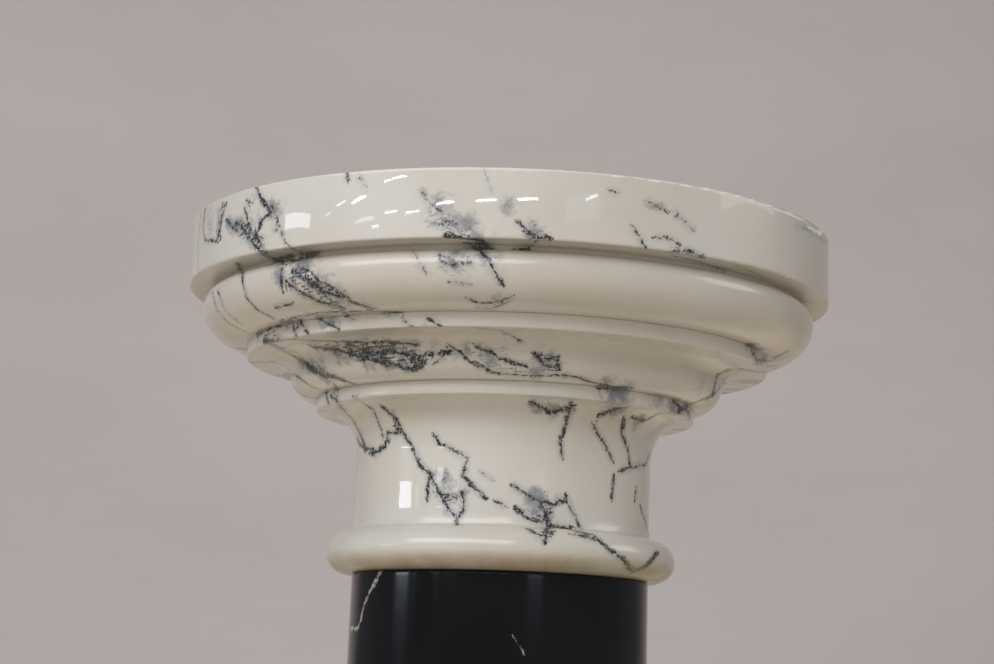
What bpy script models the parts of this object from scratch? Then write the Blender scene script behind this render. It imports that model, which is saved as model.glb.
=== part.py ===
"""A marble pedestal column: a white turned capital on a black shaft, a white base and a black plinth.

Metres, +Z up. The origin is the centre of the plinth's underside, on the floor. The front looks along -Y.
Every turned piece is one half outline, read from top to bottom, swept round the Z axis.
"""
import math

import bmesh
import bpy

# Joints and the fineness of the turned work
JOINT_GAP = 0.0003
FACETS = 52
ARRIS = 0.0006
CLOSEST_POINTS = 0.00005

# Shaft
SHAFT_TOP_RADIUS = 0.0641
SHAFT_FOOT_RADIUS = 0.0686
SHAFT_LENGTH = 0.7700
SHAFT_ARRIS = 0.0008

# Ring at each end of the shaft
RING_PROJECTION = 0.0114
RING_HEIGHT = 0.0177
RING_SEAT = 0.0020

# Capital, from the ring upwards: the height of each moulding, and how far it steps out
NECK_HEIGHT = 0.0323
NECK_FLARE = 0.0014
NECK_FLARE_HEIGHT = 0.0075
CAVETTO_HEIGHT = 0.0195
CAVETTO_PROJECTION = 0.0119
LOWER_FILLET_HEIGHT = 0.0057
LOWER_FILLET_STEP = 0.0063
CYMA_FOOT_STEP = 0.0017
CYMA_ROUND_HEIGHT = 0.0096
CYMA_ROUND_PROJECTION = 0.0102
CYMA_HOLLOW_HEIGHT = 0.0066
CYMA_HOLLOW_PROJECTION = 0.0098
UPPER_FILLET_HEIGHT = 0.0062
UPPER_FILLET_STEP = 0.0098
OVOLO_FOOT_STEP = 0.0015
OVOLO_ROUND_HEIGHT = 0.0149
OVOLO_ROUND_PROJECTION = 0.0182
OVOLO_SHOULDER_HEIGHT = 0.0065
OVOLO_SHOULDER_RETURN = 0.0050
QUIRK_HEIGHT = 0.0022
QUIRK_DEPTH = 0.0015
DISC_OVERHANG = 0.0065
DISC_HEIGHT = 0.0278
DISC_TOP_ARRIS = 0.0010

# Flake broken off the disc's top edge, turned from the front towards +X
FLAKE_ANGLE = math.radians(74.0)
FLAKE_LENGTH = 0.0500
FLAKE_HEIGHT = 0.0042
FLAKE_DEPTH = 0.0022
FLAKE_SPAN = 1.6

# Base, from its ring downwards
BASE_NECK_STEP = 0.0012
BASE_CAVETTO_HEIGHT = 0.0200
BASE_CAVETTO_PROJECTION = 0.0190
BASE_FILLET_HEIGHT = 0.0060
BASE_FILLET_STEP = 0.0065
BASE_TORUS_HEIGHT = 0.0280
BASE_TORUS_SEAT = 0.0120
BASE_TORUS_PROJECTION = 0.0140
BASE_DISC_HEIGHT = 0.0170
BASE_DISC_STEP = 0.0080

# Plinth
PLINTH_WIDTH = 0.2900
PLINTH_HEIGHT = 0.0420
PLINTH_CHAMFER = 0.0025

WHITE_MARBLE = (0.62, 0.58, 0.50)
BLACK_MARBLE = (0.012, 0.013, 0.016)


def quarter(start, end, leaves_upright, steps):
    """Points of a quarter ellipse after start, up to end, which leaves start upright or else level."""
    points = []
    for step in range(1, steps + 1):
        angle = math.pi / 2 * step / steps
        if leaves_upright:
            radius = end[0] + (start[0] - end[0]) * math.cos(angle)
            height = start[1] + (end[1] - start[1]) * math.sin(angle)
        else:
            radius = start[0] + (end[0] - start[0]) * math.sin(angle)
            height = end[1] + (start[1] - end[1]) * math.cos(angle)
        points.append((radius, height))
    return points


def band(radius, top, bottom, top_arris=ARRIS, bottom_arris=ARRIS):
    """An upright band with a small eased arris at its top and its bottom."""
    return [(radius - top_arris, top), (radius, top - top_arris),
            (radius, bottom + bottom_arris), (radius - bottom_arris, bottom)]


def half_round(seat_radius, projection, top, bottom, steps):
    """A half-round moulding that stands out from seat_radius between top and bottom."""
    middle = (seat_radius + projection, (top + bottom) / 2)
    points = [(seat_radius, top)]
    points += quarter((seat_radius, top), middle, False, steps)
    points += quarter(middle, (seat_radius, bottom), True, steps)
    return points


def capital_outline(seat):
    """The capital's half outline, from the disc's top to the seat on the shaft."""
    neck_radius = SHAFT_TOP_RADIUS
    ring_top = seat + RING_HEIGHT
    neck_top = ring_top + NECK_HEIGHT
    cavetto_top = neck_top + CAVETTO_HEIGHT
    cavetto_radius = neck_radius + CAVETTO_PROJECTION
    lower_fillet_radius = cavetto_radius + LOWER_FILLET_STEP
    lower_fillet_top = cavetto_top + LOWER_FILLET_HEIGHT
    cyma_foot_radius = lower_fillet_radius + CYMA_FOOT_STEP
    cyma_waist_radius = cyma_foot_radius + CYMA_ROUND_PROJECTION
    cyma_waist = lower_fillet_top + CYMA_ROUND_HEIGHT
    cyma_top_radius = cyma_waist_radius + CYMA_HOLLOW_PROJECTION
    cyma_top = cyma_waist + CYMA_HOLLOW_HEIGHT
    upper_fillet_radius = cyma_top_radius + UPPER_FILLET_STEP
    upper_fillet_top = cyma_top + UPPER_FILLET_HEIGHT
    ovolo_foot_radius = upper_fillet_radius + OVOLO_FOOT_STEP
    ovolo_radius = ovolo_foot_radius + OVOLO_ROUND_PROJECTION
    ovolo_widest = upper_fillet_top + OVOLO_ROUND_HEIGHT
    ovolo_top_radius = ovolo_radius - OVOLO_SHOULDER_RETURN
    ovolo_top = ovolo_widest + OVOLO_SHOULDER_HEIGHT
    quirk_radius = ovolo_top_radius - QUIRK_DEPTH
    disc_bottom = ovolo_top + QUIRK_HEIGHT
    disc_radius = ovolo_radius + DISC_OVERHANG
    disc_top = disc_bottom + DISC_HEIGHT

    points = [(0.0, disc_top)]
    points += band(disc_radius, disc_top, disc_bottom, DISC_TOP_ARRIS)
    points += [(quirk_radius, disc_bottom), (quirk_radius, ovolo_top), (ovolo_top_radius, ovolo_top)]
    points += quarter((ovolo_top_radius, ovolo_top), (ovolo_radius, ovolo_widest), False, 3)
    points += quarter((ovolo_radius, ovolo_widest), (ovolo_foot_radius, upper_fillet_top), True, 6)
    points += band(upper_fillet_radius, upper_fillet_top, cyma_top)
    points.append((cyma_top_radius, cyma_top))
    points += quarter((cyma_top_radius, cyma_top), (cyma_waist_radius, cyma_waist), False, 4)
    points += quarter((cyma_waist_radius, cyma_waist), (cyma_foot_radius, lower_fillet_top), True, 4)
    points += band(lower_fillet_radius, lower_fillet_top, cavetto_top)
    points.append((cavetto_radius, cavetto_top))
    points += quarter((cavetto_radius, cavetto_top), (neck_radius, neck_top), False, 5)
    points.append((neck_radius, ring_top + NECK_FLARE_HEIGHT))
    points.append((neck_radius + NECK_FLARE / 4, ring_top + NECK_FLARE_HEIGHT / 2))
    points.append((neck_radius + NECK_FLARE, ring_top))
    points += half_round(neck_radius + RING_SEAT, RING_PROJECTION - RING_SEAT, ring_top, seat, 4)
    points.append((0.0, seat))
    return points, disc_radius, disc_top


def shaft_outline(foot, top):
    """The shaft's half outline: it widens downwards, quickest under the capital."""
    rings = 8
    points = [(0.0, top), (SHAFT_TOP_RADIUS - SHAFT_ARRIS, top)]
    for ring in range(rings + 1):
        down = ring / rings
        radius = SHAFT_TOP_RADIUS + (SHAFT_FOOT_RADIUS - SHAFT_TOP_RADIUS) * math.sin(math.pi / 2 * down)
        points.append((radius, top - SHAFT_ARRIS - (top - foot - 2 * SHAFT_ARRIS) * down))
    points += [(SHAFT_FOOT_RADIUS - SHAFT_ARRIS, foot), (0.0, foot)]
    return points


def base_outline(foot):
    """The base's half outline, from the seat under the shaft to the foot on the plinth."""
    neck_radius = SHAFT_FOOT_RADIUS + BASE_NECK_STEP
    cavetto_radius = neck_radius + BASE_CAVETTO_PROJECTION
    fillet_radius = cavetto_radius + BASE_FILLET_STEP
    torus_seat_radius = fillet_radius + BASE_TORUS_SEAT
    torus_radius = torus_seat_radius + BASE_TORUS_PROJECTION
    disc_radius = torus_radius + BASE_DISC_STEP
    disc_top = foot + BASE_DISC_HEIGHT
    torus_top = disc_top + BASE_TORUS_HEIGHT
    fillet_top = torus_top + BASE_FILLET_HEIGHT
    ring_bottom = fillet_top + BASE_CAVETTO_HEIGHT
    seat = ring_bottom + RING_HEIGHT

    points = [(0.0, seat)]
    points += half_round(SHAFT_FOOT_RADIUS + RING_SEAT, RING_PROJECTION - RING_SEAT, seat, ring_bottom, 4)
    points.append((neck_radius, ring_bottom))
    points += quarter((neck_radius, ring_bottom), (cavetto_radius, fillet_top), True, 5)
    points += band(fillet_radius, fillet_top, torus_top)[1:-1]
    points.append((fillet_radius, torus_top))
    points += half_round(torus_seat_radius, BASE_TORUS_PROJECTION, torus_top, disc_top, 5)
    points += band(disc_radius, disc_top, foot)
    points.append((0.0, foot))
    return points, seat


def without_doubles(points):
    """The points with each one that repeats the one before it left out."""
    kept = [points[0]]
    for point in points[1:]:
        if math.dist(point, kept[-1]) > CLOSEST_POINTS:
            kept.append(point)
    return kept


def marble(name, colour, roughness):
    """A polished stone of one colour."""
    material = bpy.data.materials.new(name)
    material.use_nodes = True
    shader = material.node_tree.nodes["Principled BSDF"]
    shader.inputs["Base Color"].default_value = (*colour, 1.0)
    shader.inputs["Roughness"].default_value = roughness
    shader.inputs["Metallic"].default_value = 0.0
    material.diffuse_color = (*colour, 1.0)
    return material


def add_object(name, mesh, collection, material):
    """An object of the mesh in the collection."""
    piece = bpy.data.objects.new(name, mesh)
    collection.objects.link(piece)
    if material:
        mesh.materials.append(material)
    return piece


def turned(name, points, collection, material):
    """A solid turned about the Z axis from its half outline."""
    outline = without_doubles(points)
    mesh = bpy.data.meshes.new(name)
    corners = [(radius, 0.0, height) for radius, height in outline]
    mesh.from_pydata(corners, [(at, at + 1) for at in range(len(corners) - 1)], [])
    piece = add_object(name, mesh, collection, material)
    lathe = piece.modifiers.new("Lathe", "SCREW")
    lathe.axis = "Z"
    lathe.angle = math.tau
    lathe.steps = FACETS
    lathe.render_steps = FACETS
    lathe.use_merge_vertices = True
    lathe.merge_threshold = CLOSEST_POINTS
    lathe.use_smooth_shade = True
    return piece


def flake_cutter(disc_radius, disc_top, collection):
    """A long flat lens that lies along the disc's top edge, where the flake came away."""
    shape = bmesh.new()
    bmesh.ops.create_uvsphere(shape, u_segments=14, v_segments=7, radius=1.0)
    half_length = FLAKE_LENGTH / 2
    sag = disc_radius - math.sqrt(disc_radius ** 2 - half_length ** 2)
    for corner in shape.verts:
        along = corner.co.x * half_length
        bend = sag * corner.co.x ** 2
        corner.co.x = along
        corner.co.y = corner.co.y * FLAKE_DEPTH * FLAKE_SPAN + (FLAKE_SPAN - 1) * FLAKE_DEPTH - bend
        corner.co.z = corner.co.z * FLAKE_HEIGHT * FLAKE_SPAN + (FLAKE_SPAN - 1) * FLAKE_HEIGHT
    mesh = bpy.data.meshes.new("rim_flake")
    shape.to_mesh(mesh)
    shape.free()
    cutter = add_object("rim_flake", mesh, collection, None)
    turn = FLAKE_ANGLE - math.pi
    cutter.location = (disc_radius * math.sin(FLAKE_ANGLE), -disc_radius * math.cos(FLAKE_ANGLE), disc_top)
    cutter.rotation_euler = (0.0, 0.0, turn)
    cutter.hide_render = True
    cutter.display_type = "WIRE"
    return cutter


def square_slab(name, width, height, chamfer, collection, material):
    """A square slab on the floor with a small chamfer on its edges."""
    shape = bmesh.new()
    bmesh.ops.create_cube(shape, size=1.0)
    bmesh.ops.scale(shape, vec=(width, width, height), verts=shape.verts)
    bmesh.ops.translate(shape, vec=(0.0, 0.0, height / 2), verts=shape.verts)
    mesh = bpy.data.meshes.new(name)
    shape.to_mesh(mesh)
    shape.free()
    piece = add_object(name, mesh, collection, material)
    edges = piece.modifiers.new("Chamfer", "BEVEL")
    edges.width = min(chamfer, height / 3)
    edges.segments = 2
    edges.limit_method = "ANGLE"
    return piece


def main():
    """Builds the plinth, the base, the shaft and the capital from the floor up."""
    for old in list(bpy.data.objects):
        bpy.data.objects.remove(old)
    column = bpy.data.collections.new("marble_column")
    cutters = bpy.data.collections.new("cutters")
    for collection in (column, cutters):
        bpy.context.scene.collection.children.link(collection)

    square_slab("plinth", PLINTH_WIDTH, PLINTH_HEIGHT, PLINTH_CHAMFER, column,
                marble("plinth_black_marble", BLACK_MARBLE, 0.15))
    base_points, base_top = base_outline(PLINTH_HEIGHT + JOINT_GAP)
    turned("base", base_points, column, marble("base_white_marble", WHITE_MARBLE, 0.2))
    shaft_foot = base_top + JOINT_GAP
    shaft_top = shaft_foot + SHAFT_LENGTH
    turned("shaft", shaft_outline(shaft_foot, shaft_top), column,
           marble("shaft_black_marble", BLACK_MARBLE, 0.12))
    capital_points, disc_radius, disc_top = capital_outline(shaft_top + JOINT_GAP)
    capital = turned("capital", capital_points, column, marble("capital_white_marble", WHITE_MARBLE, 0.2))
    flake = capital.modifiers.new("Flake", "BOOLEAN")
    flake.operation = "DIFFERENCE"
    flake.solver = "EXACT"
    flake.object = flake_cutter(disc_radius, disc_top, cutters)


main()
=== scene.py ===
"""The looks of a marble pedestal column: white turned capital, black shaft, white base, black plinth.

Metres, +Z up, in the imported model's frame: the front looks along -Y and the floor is at zero height.
"""
from __future__ import annotations

import logging
import math
import random
from dataclasses import dataclass, field
from enum import Enum

import bmesh
import bpy
from mathutils import Matrix, Vector, noise
from mathutils.bvhtree import BVHTree
from mathutils.kdtree import KDTree


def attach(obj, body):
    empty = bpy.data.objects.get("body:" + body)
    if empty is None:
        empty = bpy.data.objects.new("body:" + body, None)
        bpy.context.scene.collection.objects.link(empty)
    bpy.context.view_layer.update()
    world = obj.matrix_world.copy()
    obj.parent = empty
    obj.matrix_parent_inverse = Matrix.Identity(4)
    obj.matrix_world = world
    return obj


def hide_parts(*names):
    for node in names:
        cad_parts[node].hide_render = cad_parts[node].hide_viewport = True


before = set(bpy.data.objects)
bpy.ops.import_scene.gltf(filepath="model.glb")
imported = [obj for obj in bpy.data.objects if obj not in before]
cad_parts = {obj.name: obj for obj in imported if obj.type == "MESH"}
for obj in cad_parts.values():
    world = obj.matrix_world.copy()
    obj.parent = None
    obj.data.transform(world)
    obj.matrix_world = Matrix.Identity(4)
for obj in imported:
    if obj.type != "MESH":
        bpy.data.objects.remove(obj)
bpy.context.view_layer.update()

LOG = logging.getLogger("marble_column")
BODY = "root"
MM = 0.001
CHANCE_SEED = 7
MIRROR_STEPS = (192, 64)
CAPITAL_SEAT = 0.9016

# The picture's frame in pixels, and the camera that the photograph was solved for.
PICTURE_WIDTH = 994
PICTURE_HEIGHT = 664
SENSOR_WIDTH_MM = 36.0
LENS_MM = 80.90
CAMERA_DISTANCE = 0.97263
CAMERA_HEIGHT = 0.84540
CAMERA_PITCH = math.radians(9.618)
CAMERA_ROLL = math.radians(1.932)
CAMERA_YAW = math.radians(-0.2825)

PicturePoint = tuple[float, float]
OutlinePoint = tuple[float, float]
Colour = tuple[float, float, float]
Inputs = bpy.types.bpy_prop_collection
Results = dict[str, bpy.types.NodeSocket]


class Slot(Enum):
    """The record's material slots."""

    WHITE = "white_marble"
    BLACK = "black_marble"


class DiscEdge(Enum):
    """Which arris of the capital's disc a chip is broken from."""

    TOP = "top"
    BOTTOM = "bottom"


class Mark(Enum):
    """The per-vertex marks that the stone's materials read."""

    SIDE = "vein_side"
    GAP = "vein_gap"
    GRAIN = "stone_grain"
    WEIGHT = "vein_weight"
    WIDTH = "vein_width"
    CLOUD = "vein_cloud"
    CREVICE = "crevice"
    ARRIS = "arris"
    BROKEN = "broken"


# Shader graphs.

NO_SHIFT = (0.0, 0.0, 0.0)
NO_STRETCH = (1.0, 1.0, 1.0)
MIX_INPUTS = (0, 6, 7)
MIX_RESULT = 2


@dataclass(frozen=True)
class Pattern:
    """A noise pattern.

    Attributes:
        scale: Features to the metre.
        detail: Octaves.
        roughness: How strong the fine octaves are.
        distortion: How far it is bent.
        shift: Where it is read from, so that two patterns differ.
        stretch: Its density along each axis.
    """

    scale: float
    detail: float
    roughness: float
    distortion: float = 0.0
    shift: tuple[float, float, float] = NO_SHIFT
    stretch: tuple[float, float, float] = NO_STRETCH


class Graph:
    """A node tree that is being filled."""

    def __init__(self, tree: bpy.types.NodeTree) -> None:
        """Starts on an empty tree.

        Args:
            tree: The node tree to fill.
        """
        self.tree = tree

    def node(self, kind: str, **settings: object) -> bpy.types.Node:
        """Adds one node.

        Args:
            kind: The node's type name.
            settings: Properties to set on it.

        Returns:
            The new node.
        """
        made = self.tree.nodes.new(kind)
        for name, value in settings.items():
            setattr(made, name, value)
        return made

    def feed(self, socket: bpy.types.NodeSocket, value: object) -> None:
        """Links a socket to a value, or sets it when the value is a constant.

        Args:
            socket: The socket to fill.
            value: Another socket, a number, a vector or a colour.
        """
        if isinstance(value, bpy.types.NodeSocket):
            self.tree.links.new(value, socket)
        elif isinstance(value, tuple) and len(value) == 3 and socket.type == "RGBA":
            socket.default_value = (*value, 1.0)
        else:
            socket.default_value = value

    def maths(self, operation: str, *values: object) -> bpy.types.NodeSocket:
        """A Math node.

        Args:
            operation: The node's operation.
            values: Its inputs, sockets or numbers.

        Returns:
            The result socket.
        """
        made = self.node("ShaderNodeMath", operation=operation)
        for socket, value in zip(made.inputs, values):
            self.feed(socket, value)
        return made.outputs[0]

    def times(self, first: object, second: object) -> bpy.types.NodeSocket:
        """The product of two values."""
        return self.maths("MULTIPLY", first, second)

    def plus(self, first: object, second: object) -> bpy.types.NodeSocket:
        """The sum of two values."""
        return self.maths("ADD", first, second)

    def minus(self, first: object, second: object) -> bpy.types.NodeSocket:
        """The first value less the second."""
        return self.maths("SUBTRACT", first, second)

    def larger(self, first: object, second: object) -> bpy.types.NodeSocket:
        """The larger of two values."""
        return self.maths("MAXIMUM", first, second)

    def smaller(self, first: object, second: object) -> bpy.types.NodeSocket:
        """The smaller of two values."""
        return self.maths("MINIMUM", first, second)

    def added(self, base: object, value: object, share: object) -> bpy.types.NodeSocket:
        """A base value with a share of another one added to it."""
        return self.maths("MULTIPLY_ADD", value, share, base)

    def ramp(self, value: object, low: object, high: object, start: float = 0.0, end: float = 1.0
             ) -> bpy.types.NodeSocket:
        """Maps value smoothly from low..high to start..end.

        Args:
            value: The socket to map.
            low: Value that gives start.
            high: Value that gives end.
            start: First result.
            end: Last result.

        Returns:
            The mapped value's socket.
        """
        made = self.node("ShaderNodeMapRange", interpolation_type="SMOOTHSTEP")
        for name, given in (("Value", value), ("From Min", low), ("From Max", high),
                            ("To Min", start), ("To Max", end)):
            self.feed(made.inputs[name], given)
        return made.outputs["Result"]

    def mix(self, factor: object, first: object, second: object) -> bpy.types.NodeSocket:
        """Blends two colours.

        Args:
            factor: How much of the second colour.
            first: The first colour.
            second: The second colour.

        Returns:
            The blended colour's socket.
        """
        made = self.node("ShaderNodeMix", data_type="RGBA")
        for index, value in zip(MIX_INPUTS, (factor, first, second)):
            self.feed(made.inputs[index], value)
        return made.outputs[MIX_RESULT]

    def noise(self, vector: bpy.types.NodeSocket, pattern: Pattern) -> bpy.types.NodeSocket:
        """A noise texture's value.

        Args:
            vector: Where it is read.
            pattern: Its settings.

        Returns:
            The value's socket.
        """
        if pattern.shift != NO_SHIFT or pattern.stretch != NO_STRETCH:
            moved = self.node("ShaderNodeMapping")
            self.feed(moved.inputs["Vector"], vector)
            moved.inputs["Location"].default_value = pattern.shift
            moved.inputs["Scale"].default_value = pattern.stretch
            vector = moved.outputs["Vector"]
        made = self.node("ShaderNodeTexNoise")
        for name, given in (("Vector", vector), ("Scale", pattern.scale), ("Detail", pattern.detail),
                            ("Roughness", pattern.roughness), ("Distortion", pattern.distortion)):
            self.feed(made.inputs[name], given)
        return made.outputs["Fac"]

    def mark(self, mark: Mark, output: str = "Fac") -> bpy.types.NodeSocket:
        """The value of a per-vertex mark."""
        return self.node("ShaderNodeAttribute", attribute_name=mark.value).outputs[output]

    def group(self, tree: bpy.types.NodeTree, **inputs: object) -> bpy.types.Node:
        """Places a node group.

        Args:
            tree: The group's tree.
            inputs: Its inputs by name.

        Returns:
            The group node.
        """
        made = self.node("ShaderNodeGroup", node_tree=tree)
        for name, value in inputs.items():
            self.feed(made.inputs[name], value)
        return made


class ShaderGroup:
    """A node group that the stone's materials share."""

    NAME = ""
    VECTORS: tuple[str, ...] = ("Vector",)
    NUMBERS: tuple[str, ...] = ()
    RESULTS: tuple[str, ...] = ()

    def __init__(self) -> None:
        """Makes the group with its inputs and outputs, and draws it."""
        self.tree = bpy.data.node_groups.new(self.NAME, "ShaderNodeTree")
        for names, in_out, kind in ((self.VECTORS, "INPUT", "NodeSocketVector"),
                                    (self.NUMBERS, "INPUT", "NodeSocketFloat"),
                                    (self.RESULTS, "OUTPUT", "NodeSocketFloat")):
            for name in names:
                self.tree.interface.new_socket(name=name, in_out=in_out, socket_type=kind)
        graph = Graph(self.tree)
        given = graph.node("NodeGroupInput").outputs
        put = graph.node("NodeGroupOutput").inputs
        for name, value in self.draw(graph, given).items():
            graph.feed(put[name], value)

    def draw(self, graph: Graph, given: Inputs) -> Results:
        """Draws the group's nodes.

        Args:
            graph: The group's graph.
            given: The group's inputs.

        Returns:
            Its results by name.
        """
        raise NotImplementedError


class VeinGroup(ShaderGroup):
    """Draws smoky, broken veins along the lines laid on a piece.

    Distances go in as millimetres. A named tuple of numbers holds the two values that a ramp goes
    between and, where they aren't 0 and 1, what it gives at them.
    """

    NAME = "stone_veins"
    VECTORS = ("Vector", "Grain")
    NUMBERS = ("Side", "Gap", "Weight", "Width", "Cloud", "Wobble")
    RESULTS = ("Ink", "Haze")

    WIDE_BEND = Pattern(120.0, 2.0, 0.6)
    WIDE_BEND_MM = 3.0
    FINE_BEND = Pattern(520.0, 3.0, 0.7, shift=(3.1, 1.7, 0.4))
    FINE_BEND_MM = 2.5
    SWELLING = Pattern(230.0, 3.0, 0.65, shift=(7.3, 0.2, 5.5))
    SWELL = (0.35, 0.68, 0.5, 2.6)
    LINE_CORE = 0.10
    LINE_EDGE = 1.9
    LINE_REACH = (1.9, 3.4, 1.0, 0.0)
    BREAKS = Pattern(430.0, 3.0, 0.65, shift=(1.9, 8.8, 2.2))
    BREAK_LEVEL = 0.60
    BREAK_DROP = 0.25
    BREAK_BELOW = 0.10
    BREAK_ABOVE = 0.08
    SAND = Pattern(950.0, 3.0, 0.7, shift=(6.2, 3.3, 8.1))
    SANDY_LINE = (0.36, 0.56, 0.35, 1.0)
    SANDY_STREAK = (0.38, 0.56, 0.35, 1.0)
    FRINGE_SAND = (0.52, 0.60)
    FRINGE_REACH = (0.4, 2.4, 0.55, 0.0)
    FRINGE_BREAKS = (0.42, 0.58)
    STREAKS = Pattern(640.0, 4.0, 0.68, 0.9, stretch=(1.0, 1.0, 0.30))
    STREAK_LEVEL = 0.74
    STREAK_DROP = 0.24
    STREAK_FULL = 0.8
    STREAK_EDGE = 0.14
    DOT_SAND = (0.60, 0.68)
    DOT_CLOUD = (0.25, 0.8, 0.0, 0.75)
    INK_WEIGHT = (0.0, 0.8, 0.3, 1.0)
    SMOKE = Pattern(150.0, 6.0, 0.70, 0.4, shift=(0.3, 0.5, 0.1))
    SHORE_LEVEL = 0.62
    SHORE_DROP = 0.36
    SHORE_EDGE = 0.31
    SMOKE_CLOUD = (0.02, 0.45)
    HALO_REACH = (0.3, 3.2, 0.42, 0.0)

    def draw(self, graph: Graph, given: Inputs) -> Results:
        """Draws the group's nodes.

        Args:
            graph: The group's graph.
            given: The group's inputs.

        Returns:
            The ink of the veins and the haze round them.
        """
        at, gap, weight, cloud = (given[name] for name in ("Vector", "Gap", "Weight", "Cloud"))
        sand = graph.noise(at, self.SAND)
        breaks = graph.noise(at, self.BREAKS)
        line = graph.times(self.line(graph, given), graph.ramp(gap, *self.LINE_REACH))
        floor = graph.minus(self.BREAK_LEVEL, graph.times(weight, self.BREAK_DROP))
        whole = graph.ramp(breaks, graph.minus(floor, self.BREAK_BELOW), graph.plus(floor, self.BREAK_ABOVE))
        line = graph.times(graph.times(line, whole), graph.ramp(sand, *self.SANDY_LINE))
        fringe = graph.times(graph.ramp(sand, *self.FRINGE_SAND), graph.ramp(gap, *self.FRINGE_REACH))
        fringe = graph.times(fringe, graph.ramp(breaks, *self.FRINGE_BREAKS))
        thick = graph.times(graph.smaller(cloud, self.STREAK_FULL), self.STREAK_DROP)
        level = graph.minus(self.STREAK_LEVEL, thick)
        streak = graph.ramp(graph.noise(given["Grain"], self.STREAKS), level,
                            graph.plus(level, self.STREAK_EDGE))
        streak = graph.times(streak, graph.ramp(sand, *self.SANDY_STREAK))
        dots = graph.times(graph.ramp(sand, *self.DOT_SAND), graph.ramp(cloud, *self.DOT_CLOUD))
        ink = graph.larger(graph.larger(line, fringe), graph.larger(streak, dots))
        shore = graph.minus(self.SHORE_LEVEL, graph.times(cloud, self.SHORE_DROP))
        haze = graph.ramp(graph.noise(at, self.SMOKE), shore, graph.plus(shore, self.SHORE_EDGE))
        haze = graph.times(haze, graph.ramp(cloud, *self.SMOKE_CLOUD))
        halo = graph.times(graph.ramp(gap, *self.HALO_REACH), weight)
        return {"Ink": graph.times(ink, graph.ramp(weight, *self.INK_WEIGHT)),
                "Haze": graph.larger(haze, halo)}

    def line(self, graph: Graph, given: Inputs) -> bpy.types.NodeSocket:
        """Draws the lines themselves, bent and swelling.

        Args:
            graph: The group's graph.
            given: The group's inputs.

        Returns:
            How much of a line there is.
        """
        at = given["Vector"]
        wide = graph.minus(graph.noise(at, self.WIDE_BEND), 0.5)
        fine = graph.minus(graph.noise(at, self.FINE_BEND), 0.5)
        bend = graph.added(graph.times(fine, self.FINE_BEND_MM), wide, self.WIDE_BEND_MM)
        side = graph.maths("ABSOLUTE", graph.added(given["Side"], bend, given["Wobble"]))
        width = graph.times(given["Width"], graph.ramp(graph.noise(at, self.SWELLING), *self.SWELL))
        return graph.ramp(side, graph.times(width, self.LINE_CORE), graph.times(width, self.LINE_EDGE),
                          1.0, 0.0)


class PolishGroup(ShaderGroup):
    """Gives the roughness and the height of an old, rubbed stone surface."""

    NAME = "worn_polish"
    NUMBERS = ("Gloss", "Dulling", "Broken")
    RESULTS = ("Roughness", "Height")

    SMEARS = Pattern(38.0, 4.0, 0.6)
    SMEAR = (0.35, 0.75)
    SMEAR_ROUGHNESS = 0.012
    SCRATCHES = Pattern(150.0, 3.0, 0.6, stretch=(1.0, 1.0, 14.0))
    SCRATCH = (0.58, 0.72)
    SCRATCH_ROUGHNESS = 0.006
    DIRT_ROUGHNESS = 0.35
    BROKEN_ROUGHNESS = 0.55
    ROUGHEST = 0.9
    WAVES = Pattern(55.0, 2.0, 0.5)
    WAVE_HEIGHT = 0.003
    PITS = Pattern(700.0, 1.0, 0.5, shift=(5.0, 1.0, 3.0))
    PIT = (0.20, 0.25)
    PIT_HEIGHT = 0.03
    CRUMBS = Pattern(700.0, 4.0, 0.7)

    def draw(self, graph: Graph, given: Inputs) -> Results:
        """Draws the group's nodes.

        Args:
            graph: The group's graph.
            given: The group's inputs.

        Returns:
            The roughness and the height.
        """
        at, broken = given["Vector"], given["Broken"]
        smear = graph.ramp(graph.noise(at, self.SMEARS), *self.SMEAR)
        scratch = graph.ramp(graph.noise(at, self.SCRATCHES), *self.SCRATCH)
        rough = graph.added(given["Gloss"], smear, self.SMEAR_ROUGHNESS)
        rough = graph.added(rough, scratch, self.SCRATCH_ROUGHNESS)
        rough = graph.added(rough, given["Dulling"], self.DIRT_ROUGHNESS)
        rough = graph.added(rough, broken, self.BROKEN_ROUGHNESS)
        pits = graph.times(graph.ramp(graph.noise(at, self.PITS), *self.PIT), self.PIT_HEIGHT)
        height = graph.added(pits, graph.noise(at, self.WAVES), self.WAVE_HEIGHT)
        crumb = graph.times(graph.noise(at, self.CRUMBS), broken)
        return {"Roughness": graph.smaller(rough, self.ROUGHEST), "Height": graph.plus(crumb, height)}


class GrimeShadeWearGroup(ShaderGroup):
    """Lays dirt and painted shade in crevices, and rubbed wear with a painted highlight on the arrises."""

    NAME = "grime_shade_wear_and_highlight"
    NUMBERS = ("Crevice", "Arris")
    RESULTS = ("GrimeAndShade", "WearAndHighlight")

    PATCHES = Pattern(45.0, 5.0, 0.65)
    PATCHY = (0.25, 0.75, 0.45, 1.0)
    CREVICE = (0.05, 1.5)
    BITES = Pattern(240.0, 4.0, 0.7, shift=(9.0, 4.0, 2.0))
    BITTEN = (0.46, 0.62)
    ARRIS = (0.2, 0.9)

    def draw(self, graph: Graph, given: Inputs) -> Results:
        """Draws the group's nodes.

        Args:
            graph: The group's graph.
            given: The group's inputs.

        Returns:
            The dirt with painted shade, and the wear with painted highlight.
        """
        at = given["Vector"]
        patchy = graph.ramp(graph.noise(at, self.PATCHES), *self.PATCHY)
        bitten = graph.ramp(graph.noise(at, self.BITES), *self.BITTEN)
        # The first result paints shade as well as dirt into hollows; the second paints a highlight as well
        # as wear onto arrises.
        return {"GrimeAndShade": graph.times(graph.ramp(given["Crevice"], *self.CREVICE), patchy),
                "WearAndHighlight": graph.times(graph.ramp(given["Arris"], *self.ARRIS), bitten)}


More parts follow.
